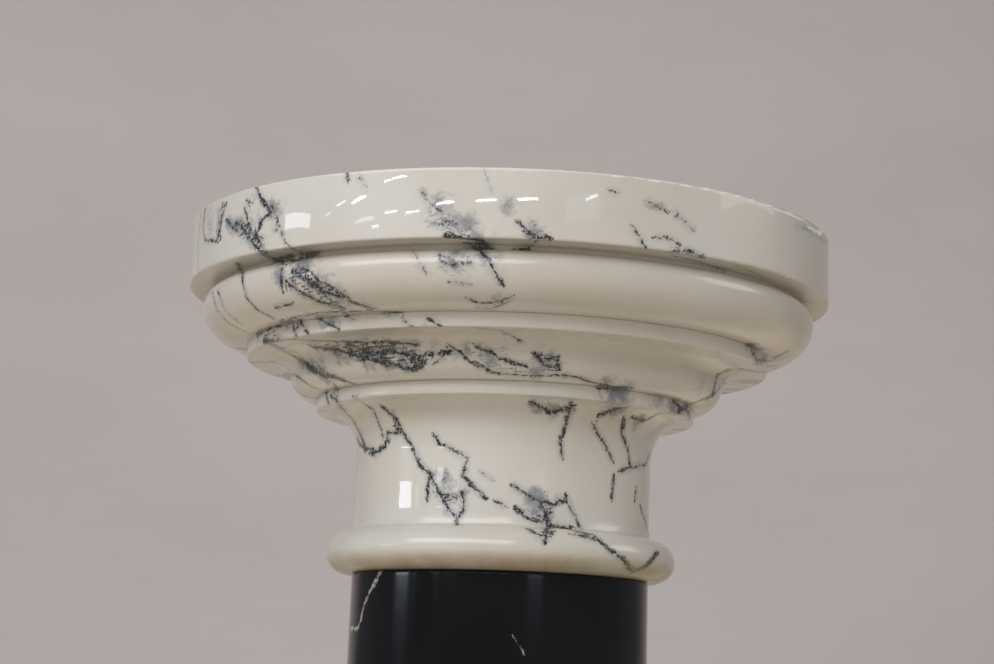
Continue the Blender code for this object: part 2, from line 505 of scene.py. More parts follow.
def new_material(name: str) -> tuple[bpy.types.Material, Graph, bpy.types.Node]:
    """Starts a material.

    Args:
        name: Its name.

    Returns:
        The material, its graph and its shader node, which is linked to the output.
    """
    material = bpy.data.materials.new(name)
    material.use_nodes = True
    material.node_tree.nodes.clear()
    graph = Graph(material.node_tree)
    shader = graph.node("ShaderNodeBsdfPrincipled")
    out = graph.node("ShaderNodeOutputMaterial")
    graph.feed(out.inputs["Surface"], shader.outputs["BSDF"])
    return material, graph, shader


@dataclass(frozen=True)
class StoneFinish:
    """A polished marble.

    Attributes:
        name: The material's name.
        body: The stone's main colour.
        second: The colour that its slow clouds turn to.
        vein: The colour of its veins.
        halo: The colour that spreads from the veins.
        halo_share: How strong that spread is.
        grime_and_shade: The colour laid in crevices: real dirt, and also painted shade in the hollows and
            under the mouldings.
        grime_and_shade_share: How strong that dirt and painted shade are.
        worn_and_highlight: The colour of rubbed arrises, which also paints a highlight along them.
        broken: The colour of broken stone.
        gloss: Roughness of the polish.
        wobble: How much the veins wander.
        wax: How much clear polish lies on it.
    """

    name: str
    body: Colour
    second: Colour
    vein: Colour
    halo: Colour
    halo_share: float
    grime_and_shade: Colour
    grime_and_shade_share: float
    worn_and_highlight: Colour
    broken: Colour
    gloss: float
    wobble: float
    wax: float

    CLOUDS = Pattern(14.0, 4.0, 0.55, 0.4)
    CLOUD = (0.35, 0.70)
    INK_HALO = 0.85
    INK = (0.22, 0.85)
    WEAR_AND_HIGHLIGHT_SHARE = 0.6
    BROKEN_SHARE = 0.85
    STONE_IOR = 1.50
    WAX_ROUGHNESS = 0.01
    WAX_IOR = 1.45
    BUMP_STRENGTH = 0.35
    BUMP_DEPTH = 0.0006

    def build(self, groups: dict[str, bpy.types.NodeTree]) -> bpy.types.Material:
        """Makes the material.

        Args:
            groups: The shared node groups by name.

        Returns:
            The material.
        """
        material, graph, shader = new_material(self.name)
        at = graph.node("ShaderNodeTexCoord").outputs["Object"]
        broken = graph.mark(Mark.BROKEN)
        veins = graph.group(groups["veins"], Vector=at, Grain=graph.mark(Mark.GRAIN, "Vector"),
                            Side=graph.mark(Mark.SIDE), Gap=graph.mark(Mark.GAP),
                            Weight=graph.mark(Mark.WEIGHT), Width=graph.mark(Mark.WIDTH),
                            Cloud=graph.mark(Mark.CLOUD), Wobble=self.wobble)
        grime_shade_wear_highlight = graph.group(groups["grime_and_shade"], Vector=at, Crevice=graph.mark(Mark.CREVICE),
                           Arris=graph.mark(Mark.ARRIS))
        polish = graph.group(groups["polish"], Vector=at, Gloss=self.gloss, Dulling=grime_shade_wear_highlight.outputs["GrimeAndShade"],
                             Broken=broken)
        ink = veins.outputs["Ink"]
        haze = graph.times(veins.outputs["Haze"], self.halo_share)
        smoke = graph.smaller(graph.added(haze, ink, self.INK_HALO), 1.0)
        colour = self.body
        for share, over in ((graph.ramp(graph.noise(at, self.CLOUDS), *self.CLOUD), self.second),
                            (smoke, self.halo),
                            (graph.ramp(ink, *self.INK), self.vein),
                            # Painted shade and dirt, darkening the hollows.
                            (graph.times(grime_shade_wear_highlight.outputs["GrimeAndShade"], self.grime_and_shade_share), self.grime_and_shade),
                            # Rubbed wear and a painted highlight, lightening the arrises.
                            (graph.times(grime_shade_wear_highlight.outputs["WearAndHighlight"], self.WEAR_AND_HIGHLIGHT_SHARE), self.worn_and_highlight),
                            (graph.times(broken, self.BROKEN_SHARE), self.broken)):
            colour = graph.mix(share, colour, over)
        graph.feed(shader.inputs["Base Color"], colour)
        graph.feed(shader.inputs["Roughness"], polish.outputs["Roughness"])
        shader.inputs["IOR"].default_value = self.STONE_IOR
        shader.inputs["Coat Weight"].default_value = self.wax
        if self.wax > 0.0:
            graph.feed(shader.inputs["Coat Weight"], graph.minus(self.wax, graph.times(broken, self.wax)))
        shader.inputs["Coat Roughness"].default_value = self.WAX_ROUGHNESS
        shader.inputs["Coat IOR"].default_value = self.WAX_IOR
        bump = graph.node("ShaderNodeBump")
        bump.inputs["Strength"].default_value = self.BUMP_STRENGTH
        bump.inputs["Distance"].default_value = self.BUMP_DEPTH
        graph.feed(bump.inputs["Height"], polish.outputs["Height"])
        graph.feed(shader.inputs["Normal"], bump.outputs["Normal"])
        return material


@dataclass(frozen=True)
class PaintedWall:
    """A plain painted surface of the studio.

    Attributes:
        name: The material's name.
        light: Its colour.
        shade: The colour of its faint marks.
        scale: Marks to the metre.
    """

    name: str
    light: Colour
    shade: Colour
    scale: float

    BRUSHED = (0.6, 1.0, 1.5)
    MARKS = (0.3, 0.75)
    ROUGHNESS = (0.85, 0.95)
    SHINE = 0.1

    def build(self) -> bpy.types.Material:
        """Makes the material.

        Returns:
            The material.
        """
        material, graph, shader = new_material(self.name)
        at = graph.node("ShaderNodeTexCoord").outputs["Object"]
        marks = graph.ramp(graph.noise(at, Pattern(self.scale, 5.0, 0.6, stretch=self.BRUSHED)), *self.MARKS)
        graph.feed(shader.inputs["Base Color"], graph.mix(marks, self.light, self.shade))
        graph.feed(shader.inputs["Roughness"], graph.ramp(marks, 0.0, 1.0, *self.ROUGHNESS))
        shader.inputs["Specular IOR Level"].default_value = self.SHINE
        return material


# Outlines of turned work.


def between(first: OutlinePoint, second: OutlinePoint, share: float) -> tuple[float, float]:
    """The point at a share of the way from the first point to the second."""
    return first[0] + (second[0] - first[0]) * share, first[1] + (second[1] - first[1]) * share


class Outline:
    """A half outline of turned work, gathered from the top down as radius and height."""

    ROW = 0.0013
    SLACK = 1e-6
    EASE = 0.0007
    WEDGES = 16
    WELD = 0.00002

    def __init__(self, radius: float, height: float) -> None:
        """Starts at a point.

        Args:
            radius: Its radius.
            height: Its height.
        """
        self.points: list[OutlinePoint] = [(radius, height)]

    def line(self, radius: float, height: float, step: float = ROW) -> Outline:
        """Goes straight to a point.

        Args:
            radius: The point's radius.
            height: The point's height.
            step: Longest stretch between two vertices.

        Returns:
            The outline itself.
        """
        start, end = self.points[-1], (radius, height)
        count = max(1, math.ceil(math.dist(start, end) / step - self.SLACK))
        self.points += [between(start, end, index / count) for index in range(1, count + 1)]
        return self

    def quarter(self, radius: float, height: float, leaves_upright: bool, steps: int) -> Outline:
        """Goes along a quarter ellipse to a point.

        Args:
            radius: The point's radius.
            height: The point's height.
            leaves_upright: Whether it leaves upright and arrives level, or the other way.
            steps: Stretches in the quarter.

        Returns:
            The outline itself.
        """
        start_radius, start_height = self.points[-1]
        for step in range(1, steps + 1):
            angle = math.pi / 2 * step / steps
            if leaves_upright:
                point = (radius + (start_radius - radius) * math.cos(angle),
                         start_height + (height - start_height) * math.sin(angle))
            else:
                point = (start_radius + (radius - start_radius) * math.sin(angle),
                         height + (start_height - height) * math.cos(angle))
            self.points.append(point)
        return self

    def band(self, radius: float, top: float, bottom: float, ease: float = EASE, step: float = ROW
             ) -> Outline:
        """Adds an upright band with rounded arrises, reached level and left level.

        Args:
            radius: The band's radius.
            top: Its top.
            bottom: Its bottom.
            ease: Radius of both arrises.
            step: Longest stretch between two vertices.

        Returns:
            The outline itself.
        """
        self.line(radius - ease, top, step)
        self.quarter(radius, top - ease, False, 3)
        self.line(radius, bottom + ease, step)
        return self.quarter(radius - ease, bottom, True, 3)

    def at(self, distance: float) -> OutlinePoint:
        """The point at a distance along the outline from its start.

        Args:
            distance: How far along.

        Returns:
            Its radius and height.
        """
        for first, second in zip(self.points, self.points[1:]):
            length = math.dist(first, second)
            if distance <= length and length > 0:
                return between(first, second, distance / length)
            distance -= length
        return self.points[-1]

    def length(self) -> float:
        """The outline's whole length."""
        return sum(math.dist(first, second) for first, second in zip(self.points, self.points[1:]))

    def turn(self, front_steps: int, back_steps: int) -> bmesh.types.BMesh:
        """Sweeps the outline round the Z axis.

        One wedge of each half is spun, and then doubled until the half is full.

        Args:
            front_steps: Steps over the half that faces the camera.
            back_steps: Steps over the other half.

        Returns:
            The closed mesh.
        """
        mesh = bmesh.new()
        for start, steps in ((0.0, front_steps), (-math.pi, back_steps)):
            vertices = [mesh.verts.new((radius, 0.0, height)) for radius, height in self.points]
            sector: list[object] = list(vertices)
            sector += [mesh.edges.new(pair) for pair in zip(vertices, vertices[1:])]
            bmesh.ops.rotate(mesh, cent=(0, 0, 0), matrix=Matrix.Rotation(start, 3, "Z"), verts=vertices)
            known = set(mesh.faces)
            bmesh.ops.spin(mesh, geom=sector, cent=(0, 0, 0), axis=(0, 0, 1), angle=-math.pi / self.WEDGES,
                           steps=steps // self.WEDGES, use_merge=False, use_duplicate=False,
                           use_normal_flip=False, dvec=(0, 0, 0))
            wedge = [face for face in mesh.faces if face not in known]
            turned = math.pi / self.WEDGES
            while turned < math.pi - 0.001:
                corners = list({vertex for face in wedge for vertex in face.verts})
                copied = bmesh.ops.duplicate(mesh, geom=corners + wedge)["geom"]
                fresh = [item for item in copied if isinstance(item, bmesh.types.BMVert)]
                bmesh.ops.rotate(mesh, cent=(0, 0, 0), matrix=Matrix.Rotation(-turned, 3, "Z"), verts=fresh)
                wedge += [item for item in copied if isinstance(item, bmesh.types.BMFace)]
                turned *= 2
        bmesh.ops.remove_doubles(mesh, verts=mesh.verts, dist=self.WELD)
        bmesh.ops.recalc_face_normals(mesh, faces=mesh.faces)
        return mesh


# Camera.


class Viewpoint:
    """The camera, where the photograph was taken from."""

    def __init__(self) -> None:
        """Works out the camera's place and its axes."""
        cos_pitch, sin_pitch = math.cos(CAMERA_PITCH), math.sin(CAMERA_PITCH)
        self.place = Vector((0.0, -CAMERA_DISTANCE, CAMERA_HEIGHT))
        self.ahead = Vector((math.sin(CAMERA_YAW) * cos_pitch, math.cos(CAMERA_YAW) * cos_pitch, sin_pitch))
        level = Vector((math.cos(CAMERA_YAW), -math.sin(CAMERA_YAW), 0.0))
        upright = level.cross(self.ahead)
        self.right = level * math.cos(CAMERA_ROLL) + upright * math.sin(CAMERA_ROLL)
        self.up = upright * math.cos(CAMERA_ROLL) - level * math.sin(CAMERA_ROLL)
        self.focal = LENS_MM / SENSOR_WIDTH_MM * PICTURE_WIDTH

    def build(self) -> None:
        """Makes the scene's camera."""
        data = bpy.data.cameras.new("camera")
        data.lens = LENS_MM
        data.sensor_width = SENSOR_WIDTH_MM
        data.clip_start = 0.05
        data.clip_end = 100.0
        camera = bpy.data.objects.new("camera", data)
        turned = Matrix((self.right, self.up, -self.ahead)).transposed().to_4x4()
        camera.matrix_world = Matrix.Translation(self.place) @ turned
        bpy.context.scene.collection.objects.link(camera)
        bpy.context.scene.camera = camera

    def ray(self, point: PicturePoint) -> Vector:
        """The direction in which a picture point lies."""
        across = point[0] - PICTURE_WIDTH / 2
        down = point[1] - PICTURE_HEIGHT / 2
        return (self.ahead * self.focal + self.right * across - self.up * down).normalized()

    def hit(self, surface: BVHTree, point: PicturePoint) -> Vector | None:
        """The place on a surface that a picture point shows, or None."""
        return surface.ray_cast(self.place, self.ray(point))[0]


# Veins.


@dataclass(frozen=True)
class Vein:
    """A vein that the photograph shows.

    Attributes:
        name: Where it runs.
        run: Picture points along it, in pixels from the top left corner.
        weight: How dark and unbroken it is.
        width: Its half width in millimetres.
        cloud: How much haze and web it carries.
    """

    name: str
    run: tuple[PicturePoint, ...]
    weight: float
    width: float
    cloud: float


@dataclass(frozen=True)
class Smoke:
    """A blue-grey patch in the stone.

    Attributes:
        centre: Picture point of its middle.
        radius_mm: Its size on the stone, in millimetres.
        strength: How thick it is.
    """

    centre: PicturePoint
    radius_mm: float
    strength: float


@dataclass(frozen=True)
class Stream:
    """A slanting family of veins on the sides that the photograph doesn't show.

    Attributes:
        angle: Degrees round from the front at which it starts.
        start: Share of the outline's length at which it starts.
        end: Share at which it ends.
        turn: Degrees that it goes round on its way.
        strands: How many veins it has.
        cloud: How much haze they carry.
    """

    angle: float
    start: float
    end: float
    turn: float
    strands: int
    cloud: float


class VeinField:
    """Vein lines laid on one piece, and the marks that they leave on its vertices."""

    SPACING = 0.0005
    SHORTEST = 1e-7
    LEAP = 0.006
    REACH_MM = 12.0
    CLOUD_FADE_MM = 4.0
    SMOKE_REACH = 4.0

    # A strand strays from its stream by these amounts.
    STRAND_START = (-0.05, 0.10)
    STRAND_LENGTH = (0.25, 1.0)
    STRAND_LAST = 0.98
    STRAND_ANGLE = (-14.0, 14.0)
    STRAND_SLANT = (0.5, 1.4)
    STRAND_STEP = 0.003
    STRAND_SWAY = 0.022
    STRAND_WEIGHT = (0.45, 1.0)
    STRAND_WIDTH = (0.25, 0.6)
    STRAND_CLOUD = (0.4, 1.2)

    def __init__(self) -> None:
        """Starts with no veins."""
        self.samples: list[tuple[Vector, Vector, float, float, float]] = []
        self.smoke: list[tuple[Vector, float, float]] = []

    def lay(self, places: list[Vector], weight: float, width: float, cloud: float) -> None:
        """Lays one vein through places on the surface.

        Args:
            places: Points along it.
            weight: How dark it is.
            width: Its half width in millimetres.
            cloud: How much haze it carries.
        """
        for first, second in zip(places, places[1:]):
            length = (second - first).length
            if not self.SHORTEST < length < self.LEAP:
                continue
            along = (second - first) / length
            for index in range(max(1, math.ceil(length / self.SPACING))):
                self.samples.append((first + along * (index * self.SPACING), along, weight, width, cloud))

    def lay_seen(self, view: Viewpoint, surface: BVHTree, veins: tuple[Vein, ...]) -> None:
        """Lays the veins that the photograph shows.

        Args:
            view: The camera.
            surface: The piece's faces.
            veins: The veins.
        """
        for vein in veins:
            places: list[Vector] = []
            for first, second in zip(vein.run, vein.run[1:]):
                count = max(2, round(math.dist(first, second)))
                for index in range(count):
                    place = view.hit(surface, between(first, second, index / count))
                    if place is not None:
                        places.append(place)
            self.lay(places, vein.weight, vein.width, vein.cloud)

    def lay_smoke(self, view: Viewpoint, surface: BVHTree, clouds: tuple[Smoke, ...]) -> None:
        """Lays the smoky patches that the photograph shows.

        Args:
            view: The camera.
            surface: The piece's faces.
            clouds: The patches.
        """
        for cloud in clouds:
            place = view.hit(surface, cloud.centre)
            if place is not None:
                self.smoke.append((place, cloud.radius_mm * MM, cloud.strength))

    def lay_streams(self, outline: Outline, streams: tuple[Stream, ...], draw: random.Random) -> None:
        """Lays wandering veins where the photograph doesn't look.

        Args:
            outline: The piece's outline.
            streams: The families of veins.
            draw: The source of chance.
        """
        whole = outline.length()
        for stream in streams:
            for _ in range(stream.strands):
                begin = stream.start + draw.uniform(*self.STRAND_START)
                finish = begin + (stream.end - stream.start) * draw.uniform(*self.STRAND_LENGTH)
                begin, finish = max(begin, 0.0), min(finish, self.STRAND_LAST)
                angle = math.radians(stream.angle + draw.uniform(*self.STRAND_ANGLE))
                slant = math.radians(stream.turn) * draw.uniform(*self.STRAND_SLANT)
                slant *= (finish - begin) / (stream.end - stream.start)
                count = max(4, math.ceil(whole * (finish - begin) / self.STRAND_STEP))
                places = []
                sway = 0.0
                for index in range(count + 1):
                    share = index / count
                    sway += draw.uniform(-1.0, 1.0) * self.STRAND_SWAY
                    radius, height = outline.at(whole * (begin + (finish - begin) * share))
                    around = angle + slant * share + sway
                    places.append(Vector((math.sin(around) * radius, -math.cos(around) * radius, height)))
                self.lay(places, draw.uniform(*self.STRAND_WEIGHT), draw.uniform(*self.STRAND_WIDTH),
                         stream.cloud * draw.uniform(*self.STRAND_CLOUD))

    def paint(self, mesh: bpy.types.Mesh) -> None:
        """Writes the vein marks on a mesh's vertices.

        Args:
            mesh: The mesh.
        """
        tree = KDTree(len(self.samples))
        for index, sample in enumerate(self.samples):
            tree.insert(sample[0], index)
        tree.balance()
        rows: dict[Mark, list[float]] = {mark: [] for mark in (Mark.SIDE, Mark.GAP, Mark.WEIGHT, Mark.WIDTH,
                                                                Mark.CLOUD)}
        for vertex in mesh.vertices:
            _, index, gap = tree.find(vertex.co)
            place, along, weight, width, cloud = self.samples[index]
            side = vertex.normal.cross(along).normalized().dot(vertex.co - place) / MM
            reach = gap / MM
            rows[Mark.SIDE].append(max(-self.REACH_MM, min(self.REACH_MM, side)))
            rows[Mark.GAP].append(min(reach, self.REACH_MM))
            rows[Mark.WEIGHT].append(weight)
            rows[Mark.WIDTH].append(width)
            haze = cloud * math.exp(-(reach / self.CLOUD_FADE_MM) ** 2)
            for centre, radius, strength in self.smoke:
                away = (vertex.co - centre).length_squared / (radius * radius)
                if away < self.SMOKE_REACH:
                    haze = max(haze, strength * math.exp(-away))
            rows[Mark.CLOUD].append(haze)
        for mark, values in rows.items():
            write_mark(mesh, mark, values)


GRAIN_RADIUS = 0.1
GRAIN_TWIST = 15.0
GRAIN_LEAN = 0.6
GRAIN_CROSS = 0.7
RELIEF_GAIN = 9.0
RELIEF_ROUNDS = 2


def write_mark(mesh: bpy.types.Mesh, mark: Mark, values: list[float]) -> None:
    """Stores one value for each vertex.

    Args:
        mesh: The mesh.
        mark: Which mark.
        values: One number a vertex.
    """
    layer = mesh.attributes.new(mark.value, "FLOAT", "POINT")
    layer.data.foreach_set("value", values)


def write_grain(mesh: bpy.types.Mesh, outline: Outline | None) -> None:
    """Stores the stone's grain: a place on the turned surface, twisted so that streaks run aslant.

    Args:
        mesh: The mesh.
        outline: The turned piece's outline, or None where the piece isn't turned.
    """
    layer = mesh.attributes.new(Mark.GRAIN.value, "FLOAT_VECTOR", "POINT")
    values: list[float] = []
    if outline is None:
        for vertex in mesh.vertices:
            x, y, z = vertex.co
            values += [x + z * GRAIN_LEAN, z, y * GRAIN_CROSS + x * GRAIN_CROSS]
    else:
        tree = KDTree(len(outline.points))
        runs = [0.0]
        for first, second in zip(outline.points, outline.points[1:]):
            runs.append(runs[-1] + math.dist(first, second))
        for index, (radius, height) in enumerate(outline.points):
            tree.insert((radius, 0.0, height), index)
        tree.balance()
        for vertex in mesh.vertices:
            radius = math.hypot(vertex.co.x, vertex.co.y)
            _, index, _ = tree.find((radius, 0.0, vertex.co.z))
            around = math.atan2(vertex.co.y, vertex.co.x) - runs[index] * GRAIN_TWIST
            values += [math.cos(around) * GRAIN_RADIUS, math.sin(around) * GRAIN_RADIUS, runs[index]]
    layer.data.foreach_set("vector", values)


def relief_marks(mesh: bmesh.types.BMesh) -> tuple[list[float], list[float]]:
    """Measures how hollow and how sharp the surface is at each vertex.

    Args:
        mesh: The mesh.

    Returns:
        The crevice marks and the arris marks.
    """
    mesh.normal_update()
    bend = []
    for vertex in mesh.verts:
        around = [edge.other_vert(vertex).co for edge in vertex.link_edges]
        middle = sum(around, Vector()) / len(around)
        reach = max((other - vertex.co).length for other in around) or 1.0
        bend.append((middle - vertex.co).dot(vertex.normal) / reach)
    mesh.verts.index_update()
    for _ in range(RELIEF_ROUNDS):
        bend = [(bend[vertex.index] + sum(bend[edge.other_vert(vertex).index] for edge in vertex.link_edges))
                / (1 + len(vertex.link_edges)) for vertex in mesh.verts]
    crevice, arris = ([min(1.0, max(0.0, value * gain)) for value in bend]
                      for gain in (RELIEF_GAIN, -RELIEF_GAIN))
    return crevice, arris


def new_object(name: str, mesh: bmesh.types.BMesh, material: bpy.types.Material) -> bpy.types.Object:
    """Turns a finished mesh into an object of the scene.

    Args:
        name: Its name.
        mesh: The mesh, in place. It is used up.
        material: Its finish.

    Returns:
        The object.
    """
    data = bpy.data.meshes.new(name)
    mesh.to_mesh(data)
    mesh.free()
    data.materials.append(material)
    made = bpy.data.objects.new(name, data)
    bpy.context.scene.collection.objects.link(made)
    return made


@dataclass
class Piece:
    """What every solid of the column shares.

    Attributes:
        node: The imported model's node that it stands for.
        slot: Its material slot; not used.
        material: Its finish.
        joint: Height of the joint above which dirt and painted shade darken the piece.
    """

    node: str
    slot: Slot
    material: bpy.types.Material
    joint: float = -1.0

    DIRT_AND_SHADE_HEIGHT = 0.009
    DIRT_AND_SHADE_STRENGTH = 2.2
    AXIS_RADIUS = 0.01

    def finish(self, mesh: bmesh.types.BMesh, outline: Outline | None, broken: list[float] | None,
               veins: VeinField) -> None:
        """Turns a finished mesh into the piece's object, which rides on root in place of its node.

        Args:
            mesh: The mesh, in place.
            outline: Its outline, or None where it isn't turned.
            broken: How broken each vertex is, or None.
            veins: The veins to draw on it.
        """
        crevice, arris = relief_marks(mesh)
        # Darkens the band just above the joint with dirt and painted shade, where the black shaft below
        # shades it.
        for vertex in mesh.verts:
            above = (vertex.co.z - self.joint) / self.DIRT_AND_SHADE_HEIGHT
            if 0.0 <= above < 1.0 and math.hypot(vertex.co.x, vertex.co.y) > self.AXIS_RADIUS:
                crevice[vertex.index] = max(crevice[vertex.index], self.DIRT_AND_SHADE_STRENGTH * (1.0 - above))
        for face in mesh.faces:
            face.smooth = True
        piece = new_object(f"marble_{self.node}", mesh, self.material)
        data = piece.data
        write_mark(data, Mark.CREVICE, crevice)
        write_mark(data, Mark.ARRIS, arris)
        write_mark(data, Mark.BROKEN, broken or [0.0] * len(data.vertices))
        write_grain(data, outline)
        veins.paint(data)
        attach(piece, BODY)
        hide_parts(self.node)
        LOG.info("%s: %d faces", piece.name, len(data.polygons))


@dataclass
class TurnedPiece(Piece):
    """A piece that is one outline swept round the Z axis.

    Attributes:
        veins: The veins that the photograph shows on it.
        smoke: The smoky patches that the photograph shows on it.
        streams: The families of veins on its other sides.
    """

    veins: tuple[Vein, ...] = ()
    smoke: tuple[Smoke, ...] = ()
    streams: tuple[Stream, ...] = ()

    STEPS = (240, 240)

    def outline(self) -> Outline:
        """Draws the half outline, from the middle of the top to the middle of the underside."""
        raise NotImplementedError

    def break_chips(self, mesh: bmesh.types.BMesh, view: Viewpoint) -> list[float] | None:
        """Breaks chips from the mesh and says how broken each vertex is, or None where there are none."""
        return None

    def build(self, view: Viewpoint, draw: random.Random) -> None:
        """Builds and dresses the piece.

        Args:
            view: The camera.
            draw: The source of chance.
        """
        shape = self.outline()
        mesh = shape.turn(*self.STEPS)
        broken = self.break_chips(mesh, view)
        surface = BVHTree.FromBMesh(mesh)
        veins = VeinField()
        veins.lay_seen(view, surface, self.veins)
        veins.lay_smoke(view, surface, self.smoke)
        veins.lay_streams(shape, self.streams, draw)
        self.finish(mesh, shape, broken, veins)


@dataclass(frozen=True)
class Chip:
    """A piece broken from an arris of the capital's disc.

    Attributes:
        centre: Picture point of its middle.
        edge: Which arris it is broken from.
        length: Its length round the disc.
        height: How far it reaches over the upright face.
        depth: How far it reaches into the level face.
    """

    centre: PicturePoint
    edge: DiscEdge
    length: float
    height: float
    depth: float


@dataclass
class Capital(TurnedPiece):
    """The white turned capital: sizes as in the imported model."""

    seat: float = CAPITAL_SEAT
    neck: float = 0.0641
    ring_projection: float = 0.0114
    ring_height: float = 0.0177
    ring_seat: float = 0.0020
    neck_height: float = 0.0323
    flare: float = 0.0014
    flare_height: float = 0.0075
    cavetto_height: float = 0.0195
    cavetto_projection: float = 0.0119
    lower_fillet_height: float = 0.0057
    lower_fillet_step: float = 0.0063
    cyma_foot_step: float = 0.0017
    cyma_round_height: float = 0.0096
    cyma_round_projection: float = 0.0102
    cyma_hollow_height: float = 0.0066
    cyma_hollow_projection: float = 0.0098
    upper_fillet_height: float = 0.0062
    upper_fillet_step: float = 0.0098
    ovolo_foot_step: float = 0.0015
    ovolo_round_height: float = 0.0149
    ovolo_round_projection: float = 0.0182
    shoulder_height: float = 0.0065
    shoulder_return: float = 0.0050
    quirk_height: float = 0.0022
    quirk_depth: float = 0.0015
    overhang: float = 0.0065
    disc_height: float = 0.0278
    rim_ease: float = 0.0009
    chips: tuple[Chip, ...] = ()
    disc_top: float = field(init=False, default=0.0)
    disc_bottom: float = field(init=False, default=0.0)
    disc_radius: float = field(init=False, default=0.0)

    DENSE = 0.0005
    MEDIUM = 0.0008
    COARSE = 0.014
    LOWER_EASE = 0.0007
    DENSE_REACH = (0.005, 0.006, 0.003)
    RAGGED = ((260.0, 0.30), (700.0, 0.16))
    CHIP_FULLNESS = 0.85
    STEPS = (288, 112)

    def outline(self) -> Outline:
        """Draws the half outline from the middle of the top to the seat.

        Returns:
            The outline.
        """
        ring_top = self.seat + self.ring_height
        neck_top = ring_top + self.neck_height
        cavetto_top = neck_top + self.cavetto_height
        cavetto = self.neck + self.cavetto_projection
        lower_fillet = cavetto + self.lower_fillet_step
        lower_fillet_top = cavetto_top + self.lower_fillet_height
        cyma_foot = lower_fillet + self.cyma_foot_step
        cyma_waist = cyma_foot + self.cyma_round_projection
        waist_height = lower_fillet_top + self.cyma_round_height
        cyma_head = cyma_waist + self.cyma_hollow_projection
        cyma_top = waist_height + self.cyma_hollow_height
        upper_fillet = cyma_head + self.upper_fillet_step
        upper_fillet_top = cyma_top + self.upper_fillet_height
        ovolo_foot = upper_fillet + self.ovolo_foot_step
        ovolo = ovolo_foot + self.ovolo_round_projection
        ovolo_widest = upper_fillet_top + self.ovolo_round_height
        ovolo_top = ovolo_widest + self.shoulder_height
        shoulder = ovolo - self.shoulder_return
        quirk = shoulder - self.quirk_depth
        self.disc_bottom = ovolo_top + self.quirk_height
        self.disc_top = self.disc_bottom + self.disc_height
        self.disc_radius = ovolo + self.overhang
        inwards, down, low = self.DENSE_REACH
        shape = Outline(0.0, self.disc_top)
        shape.line(self.disc_radius - inwards, self.disc_top, self.COARSE)
        shape.line(self.disc_radius - self.rim_ease, self.disc_top, self.DENSE)
        shape.quarter(self.disc_radius, self.disc_top - self.rim_ease, False, 4)
        shape.line(self.disc_radius, self.disc_top - down, self.DENSE)
        shape.line(self.disc_radius, self.disc_bottom + low)
        shape.line(self.disc_radius, self.disc_bottom + self.LOWER_EASE, self.DENSE)
        shape.quarter(self.disc_radius - self.LOWER_EASE, self.disc_bottom, True, 3)
        shape.line(self.disc_radius - low, self.disc_bottom, self.DENSE)
        shape.line(quirk, self.disc_bottom)
        shape.line(quirk, ovolo_top, self.MEDIUM)
        shape.line(shoulder, ovolo_top, self.MEDIUM)
        shape.quarter(ovolo, ovolo_widest, False, 8)
        shape.quarter(ovolo_foot, upper_fillet_top, True, 18)
        shape.band(upper_fillet, upper_fillet_top, cyma_top)
        shape.line(cyma_head, cyma_top)
        shape.quarter(cyma_waist, waist_height, False, 9)
        shape.quarter(cyma_foot, lower_fillet_top, True, 12)
        shape.band(lower_fillet, lower_fillet_top, cavetto_top)
        shape.line(cavetto, cavetto_top)
        shape.quarter(self.neck, neck_top, False, 20)
        shape.line(self.neck, ring_top + self.flare_height, 0.0011)
        shape.quarter(self.neck + self.flare, ring_top, True, 7)
        shape.line(self.neck + self.ring_seat, ring_top, self.MEDIUM)
        middle = (ring_top + self.seat) / 2
        shape.quarter(self.neck + self.ring_projection, middle, False, 12)
        shape.quarter(self.neck + self.ring_seat, self.seat, True, 12)
        shape.line(0.0, self.seat, 0.03)
        return shape

    def break_chips(self, mesh: bmesh.types.BMesh, view: Viewpoint) -> list[float]:
        """Breaks the chips from the disc's arrises.

        Args:
            mesh: The capital's mesh.
            view: The camera.

        Returns:
            How broken each vertex is.
        """
        surface = BVHTree.FromBMesh(mesh)
        broken = [0.0] * len(mesh.verts)
        mesh.verts.index_update()
        for chip in self.chips:
            place = view.hit(surface, chip.centre)
            if place is None:
                LOG.warning("no stone at %s", chip.centre)
                continue
            middle = math.atan2(place.x, -place.y)
            for vertex in mesh.verts:
                radius = math.hypot(vertex.co.x, vertex.co.y)
                if radius < self.disc_radius - chip.depth * 2:
                    continue
                turn = math.atan2(vertex.co.x, -vertex.co.y) - middle
                along = turn * self.disc_radius / (chip.length / 2)
                if abs(along) >= 1.0:
                    continue
                if chip.edge is DiscEdge.TOP:
                    down = (self.disc_top - vertex.co.z) / chip.height
                else:
                    down = (vertex.co.z - self.disc_bottom) / chip.height
                inward = (self.disc_radius - radius) / chip.depth
                ragged = sum(noise.noise(vertex.co * scale) * share for scale, share in self.RAGGED)
                reach = math.sqrt(1.0 - along * along) * (self.CHIP_FULLNESS + ragged)
                if down < 0 or down + inward >= reach:
                    continue
                push = (reach - down - inward) / 2
                step = push * chip.height * (-1 if chip.edge is DiscEdge.TOP else 1)
                share = (radius - push * chip.depth) / radius
                vertex.co = Vector((vertex.co.x * share, vertex.co.y * share, vertex.co.z + step))
                broken[vertex.index] = 1.0
        return broken


